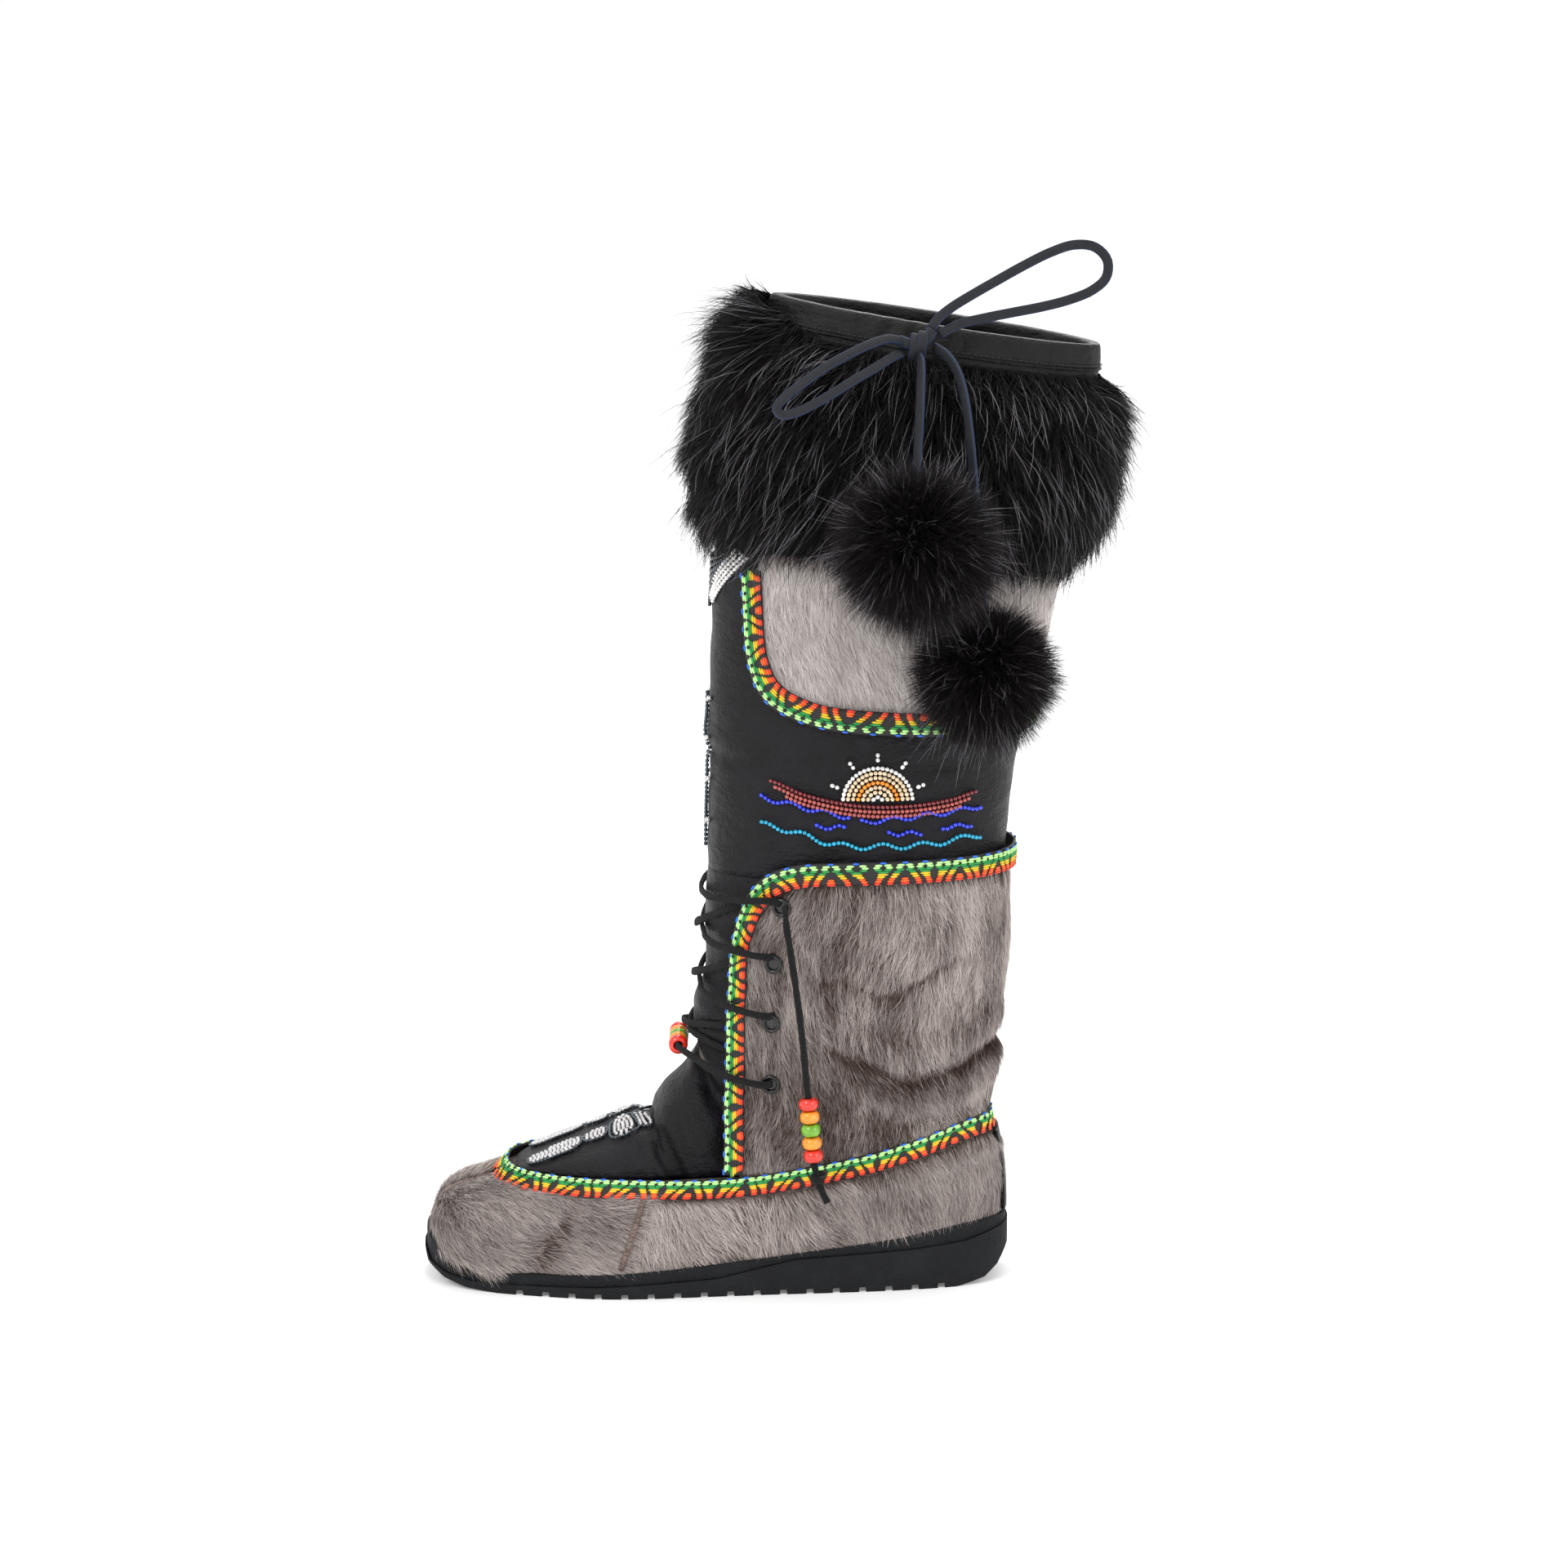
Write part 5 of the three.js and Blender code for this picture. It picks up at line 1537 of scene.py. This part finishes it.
def bead_line(path, kinds, frames, kind, pitch=SEED, size=1.0):
    """Seed beads along a path of (point, outward) pairs."""
    points = np.array([p for p, n in path])
    outs = np.array([n for p, n in path])
    reach = reach_along(points)
    count = max(int(reach[-1] / pitch), 1)
    spots = (np.arange(count) + 0.5) * reach[-1] / count
    at = picked(spots, reach, points)
    out = unit(picked(spots, reach, outs))
    ways = np.gradient(at, axis=0) if count > 1 else np.tile(points[-1] - points[0], (1, 1))
    for k in range(count):
        wobble = 1 + 0.08 * math.sin(k * 12.9 + at[k][0])
        half = (pitch * 0.5 * wobble, 1.0 * size, 0.95 * size)
        frames.append(frame_at(at[k] + out[k] * 0.7, ways[k], out[k], half))
        kinds.append(kind)


def sew_beads(name, colours, frames, kinds, body):
    glass = [BEAD_GLASS[colour] for colour in colours]
    settle(strew(name, glass, seed_shape, frames, kinds), body, "leather")


def leather_spot(turn, z):
    """A point of the leg's leather with its outward normal."""
    return shaft(turn, z, 1.0), (on_leg(turn, z, 1) - on_leg(turn, z, 0)).normalized()


def outer_spot(x, z):
    return leather_spot(turn_at(x, z), z)


def bead_curve(x0, x1, height, kinds, frames, kind):
    path = [outer_spot(x, height(x)) for x in np.linspace(x0, x1, 60)]
    bead_line(path, kinds, frames, kind)


def make_side_beadwork():
    """A plain boat-like curve on three wave lines, with a half-round sun behind it."""
    colours = ["wine", "copper", "royal", "turquoise", "cream", "white", "orange"]
    frames, kinds = [], []
    bow = through([(22, 236), (40, 230), (62, 225.6), (84, 225), (104, 227), (118, 230)])
    bead_curve(24, 116, lambda x: bow(x) + 2.2, kinds, frames, 0)
    bead_curve(26, 113, bow, kinds, frames, 1)
    bead_curve(31, 109, lambda x: bow(x) - 2.1, kinds, frames, 1)
    waves = (
        (20, 60, 2, lambda x: 230.4 - (x - 20) * 0.2 + 1.1 * math.sin(x * 0.42)),
        (64, 118, 2, lambda x: 220.2 + (x - 64) * 0.09 + 1.1 * math.sin(x * 0.42)),
        (44, 58, 2, lambda x: 217.8 + 0.9 * math.sin(x * 0.6)),
        (76, 92, 2, lambda x: 214.8 + 0.9 * math.sin(x * 0.6)),
        (100, 114, 2, lambda x: 216.8 + 0.9 * math.sin(x * 0.6)),
        (20, 118, 3, lambda x: (217.6 - 8.6 * eased(20, 62, x) + 2.4 * eased(86, 118, x)
                                + 1.3 * math.sin(x * 0.36))))
    for start, end, kind, height in waves:
        bead_curve(start, end, height, kinds, frames, kind)

    def on_sun(radius, angle):
        return outer_spot(SUN_MIDDLE[0] + radius * math.cos(angle), SUN_MIDDLE[1] + radius * math.sin(angle))

    for radius, kind in ((15.4, 5), (13.2, 4), (11, 4), (8.8, 6), (6.6, 4), (4.4, 4), (2.2, 5)):
        arc = [on_sun(radius, a) for a in np.linspace(0.02, math.pi - 0.02, 40)]
        bead_line(arc, kinds, frames, kind)
    for ray in np.linspace(0.35, math.pi - 0.35, 5):
        bead_line([on_sun(r, ray) for r in (18, 20, 22.5)], kinds, frames, 5)
    sew_beads("side_beadwork", colours, frames, kinds, "leg")


def vamp_spot(sheet, x, w):
    """A point of the vamp: x along it and w millimetres round from its ridge, with its outward normal."""
    middle = sheet.columns // 2
    ridge = sheet.points[middle, :, 0]
    top = int(np.argmax(ridge > -31))
    row = float(np.interp(x, ridge[:top], np.arange(top)))
    low = int(row)
    share = row - low
    line = sheet.points[:, low] * (1 - share) + sheet.points[:, low + 1] * share
    outs = sheet.normals[:, low] * (1 - share) + sheet.normals[:, low + 1] * share
    reach = reach_along(line)
    reach -= reach[middle]
    return Vector(picked(w, reach, line)), Vector(picked(w, reach, outs)).normalized()


def bead_leaf(sheet, kinds, frames, start, end, width, across=False):
    """A leaf of silver rows with a dark outline, from start to end on the vamp, each (x, w)."""
    start, end = np.array(start, float), np.array(end, float)
    long = float(np.linalg.norm(end - start))
    way = (end - start) / long
    side = np.array([-way[1], way[0]])

    def at(s, t):
        x, w = start + way * s + side * t
        spot, out = vamp_spot(sheet, x, w)
        return spot + out * 0.4, out

    def half(s):
        round_end = max(1 - abs(2 * s / long - 1) ** 4, 0) ** 0.5
        return width / 2 * round_end * (0.78 + 0.22 * s / long)

    rows = int(width / SEED) if not across else int(long / SEED)
    for row in range(rows):
        if across:
            s = (row + 0.5) * long / rows
            reach = half(s) - 1.0
            path = [at(s, t) for t in np.linspace(-reach, reach, 14)]
            if reach > 1.2:
                bead_line(path, kinds, frames, 0, LEAF_PITCH)
            continue
        t = (row + 0.5) * width / rows - width / 2
        inside = [s for s in np.linspace(0.8, long - 0.8, 60) if abs(t) < half(s) - 0.2]
        if len(inside) > 4:
            bead_line([at(s, t) for s in inside], kinds, frames, 0, LEAF_PITCH)
    around = [at(s, half(s) + 0.6) for s in np.linspace(0, long, 40)]
    around += [at(s, -half(s) - 0.6) for s in np.linspace(long, 0, 40)]
    bead_line(around, kinds, frames, 1, 1.7, 0.65)


def make_toe_beadwork(sheet):
    frames, kinds = [], []
    for sign in (-1, 1):
        bead_leaf(sheet, kinds, frames, (-87, sign * 14), (-61.5, sign * 13.5), 13)
        bead_leaf(sheet, kinds, frames, (-61, sign * 13.5), (-50, sign * 13), 11.5)
        bead_leaf(sheet, kinds, frames, (-44, sign * 4), (-42, sign * 26), 12, True)
        bead_leaf(sheet, kinds, frames, (-36.5, sign * 4), (-32.5, sign * 19), 7.5)
    sew_beads("toe_beadwork", ["silver", "smoke"], frames, kinds, "ankle")


def make_front_beadwork():
    """A pointed motif below the cuff and a beaded stem down the front of the leg."""
    frames, kinds = [], []
    for row in range(9):
        z = 309 + row * 3.0
        for sign in (-1, 1):
            wide = 0.05 + row * 0.062
            arch = [leather_spot(sign * t, z + 9 * (t / wide) ** 2) for t in np.linspace(0.02, wide, 16)]
            bead_line(arch, kinds, frames, 0 if row % 3 else 1)
    for sign in (-1, 1):
        for row in range(4):
            start = 0.05 + 0.042 * row
            leaf = [leather_spot(sign * (start + 0.07 * k), 317 - row + 3.4 * k)
                    for k in np.linspace(0, 7, 20)]
            bead_line(leaf, kinds, frames, 2)
        stem = [leather_spot(sign * (0.05 + 0.05 * math.sin(z * 0.085)), z)
                for z in np.linspace(200, 272, 80)]
        bead_line(stem, kinds, frames, 1)
        for z in (212, 231, 250, 268):
            leaf = [leather_spot(sign * (0.08 + 0.14 * s), z + 7 * s - 5 * s * s)
                    for s in np.linspace(0, 1, 16)]
            bead_line(leaf, kinds, frames, 3)
    sew_beads("front_beadwork", ["black", "smoke", "white", "silver"], frames, kinds, "leg")


make_cuff()
make_casing()
make_eyelets()
make_lacing()
make_side_beadwork()
make_toe_beadwork(front_sheet)
make_front_beadwork()


# ---- Studio ----
LIT_SPOT = (0.03, 0, 0.22)
LIGHTS = {
    # where each stands, how wide it is in metres, and its watts
    "key": ((-1.5, -1.9, 2.1), 1.3, 30),
    "fill": ((1.9, -1.7, 1.2), 1.6, 14),
    "top": ((0.2, 0.5, 2.6), 1.6, 20),
    "back": ((0.6, 2.2, 1.3), 1.4, 12),
}
FLOOR_HALF = 6
FLOOR_WHITE = 0.95
FLOOR_GLOW = 0.14


def place_light(name, spot, target, size, power):
    data = bpy.data.lights.new(name, "AREA")
    data.shape = "DISK"
    data.size = size
    data.energy = power
    light = bpy.data.objects.new(name, data)
    light.location = spot
    light.rotation_euler = (Vector(target) - Vector(spot)).to_track_quat("-Z", "Y").to_euler()
    bpy.context.scene.collection.objects.link(light)


def studio():
    floor_mesh = bmesh.new()
    bmesh.ops.create_grid(floor_mesh, x_segments=1, y_segments=1, size=FLOOR_HALF)
    floor_finish = Finish("pale_floor", (FLOOR_WHITE,) * 3, Roughness=1, Specular_IOR_Level=0,
                          Emission_Strength=FLOOR_GLOW)
    floor_finish.feed("Emission Color", (1, 1, 1, 1))
    to_object("floor", floor_mesh, floor_finish, smooth=False)
    world = bpy.data.worlds.new("studio")
    world.use_nodes = True
    sky = world.node_tree.nodes["Background"].inputs
    sky["Color"].default_value = (1, 1, 1, 1)
    sky["Strength"].default_value = 1
    bpy.context.scene.world = world
    bpy.context.scene.view_settings.view_transform = "Standard"
    for name, (spot, size, power) in LIGHTS.items():
        place_light(name, spot, LIT_SPOT, size, power)


studio()
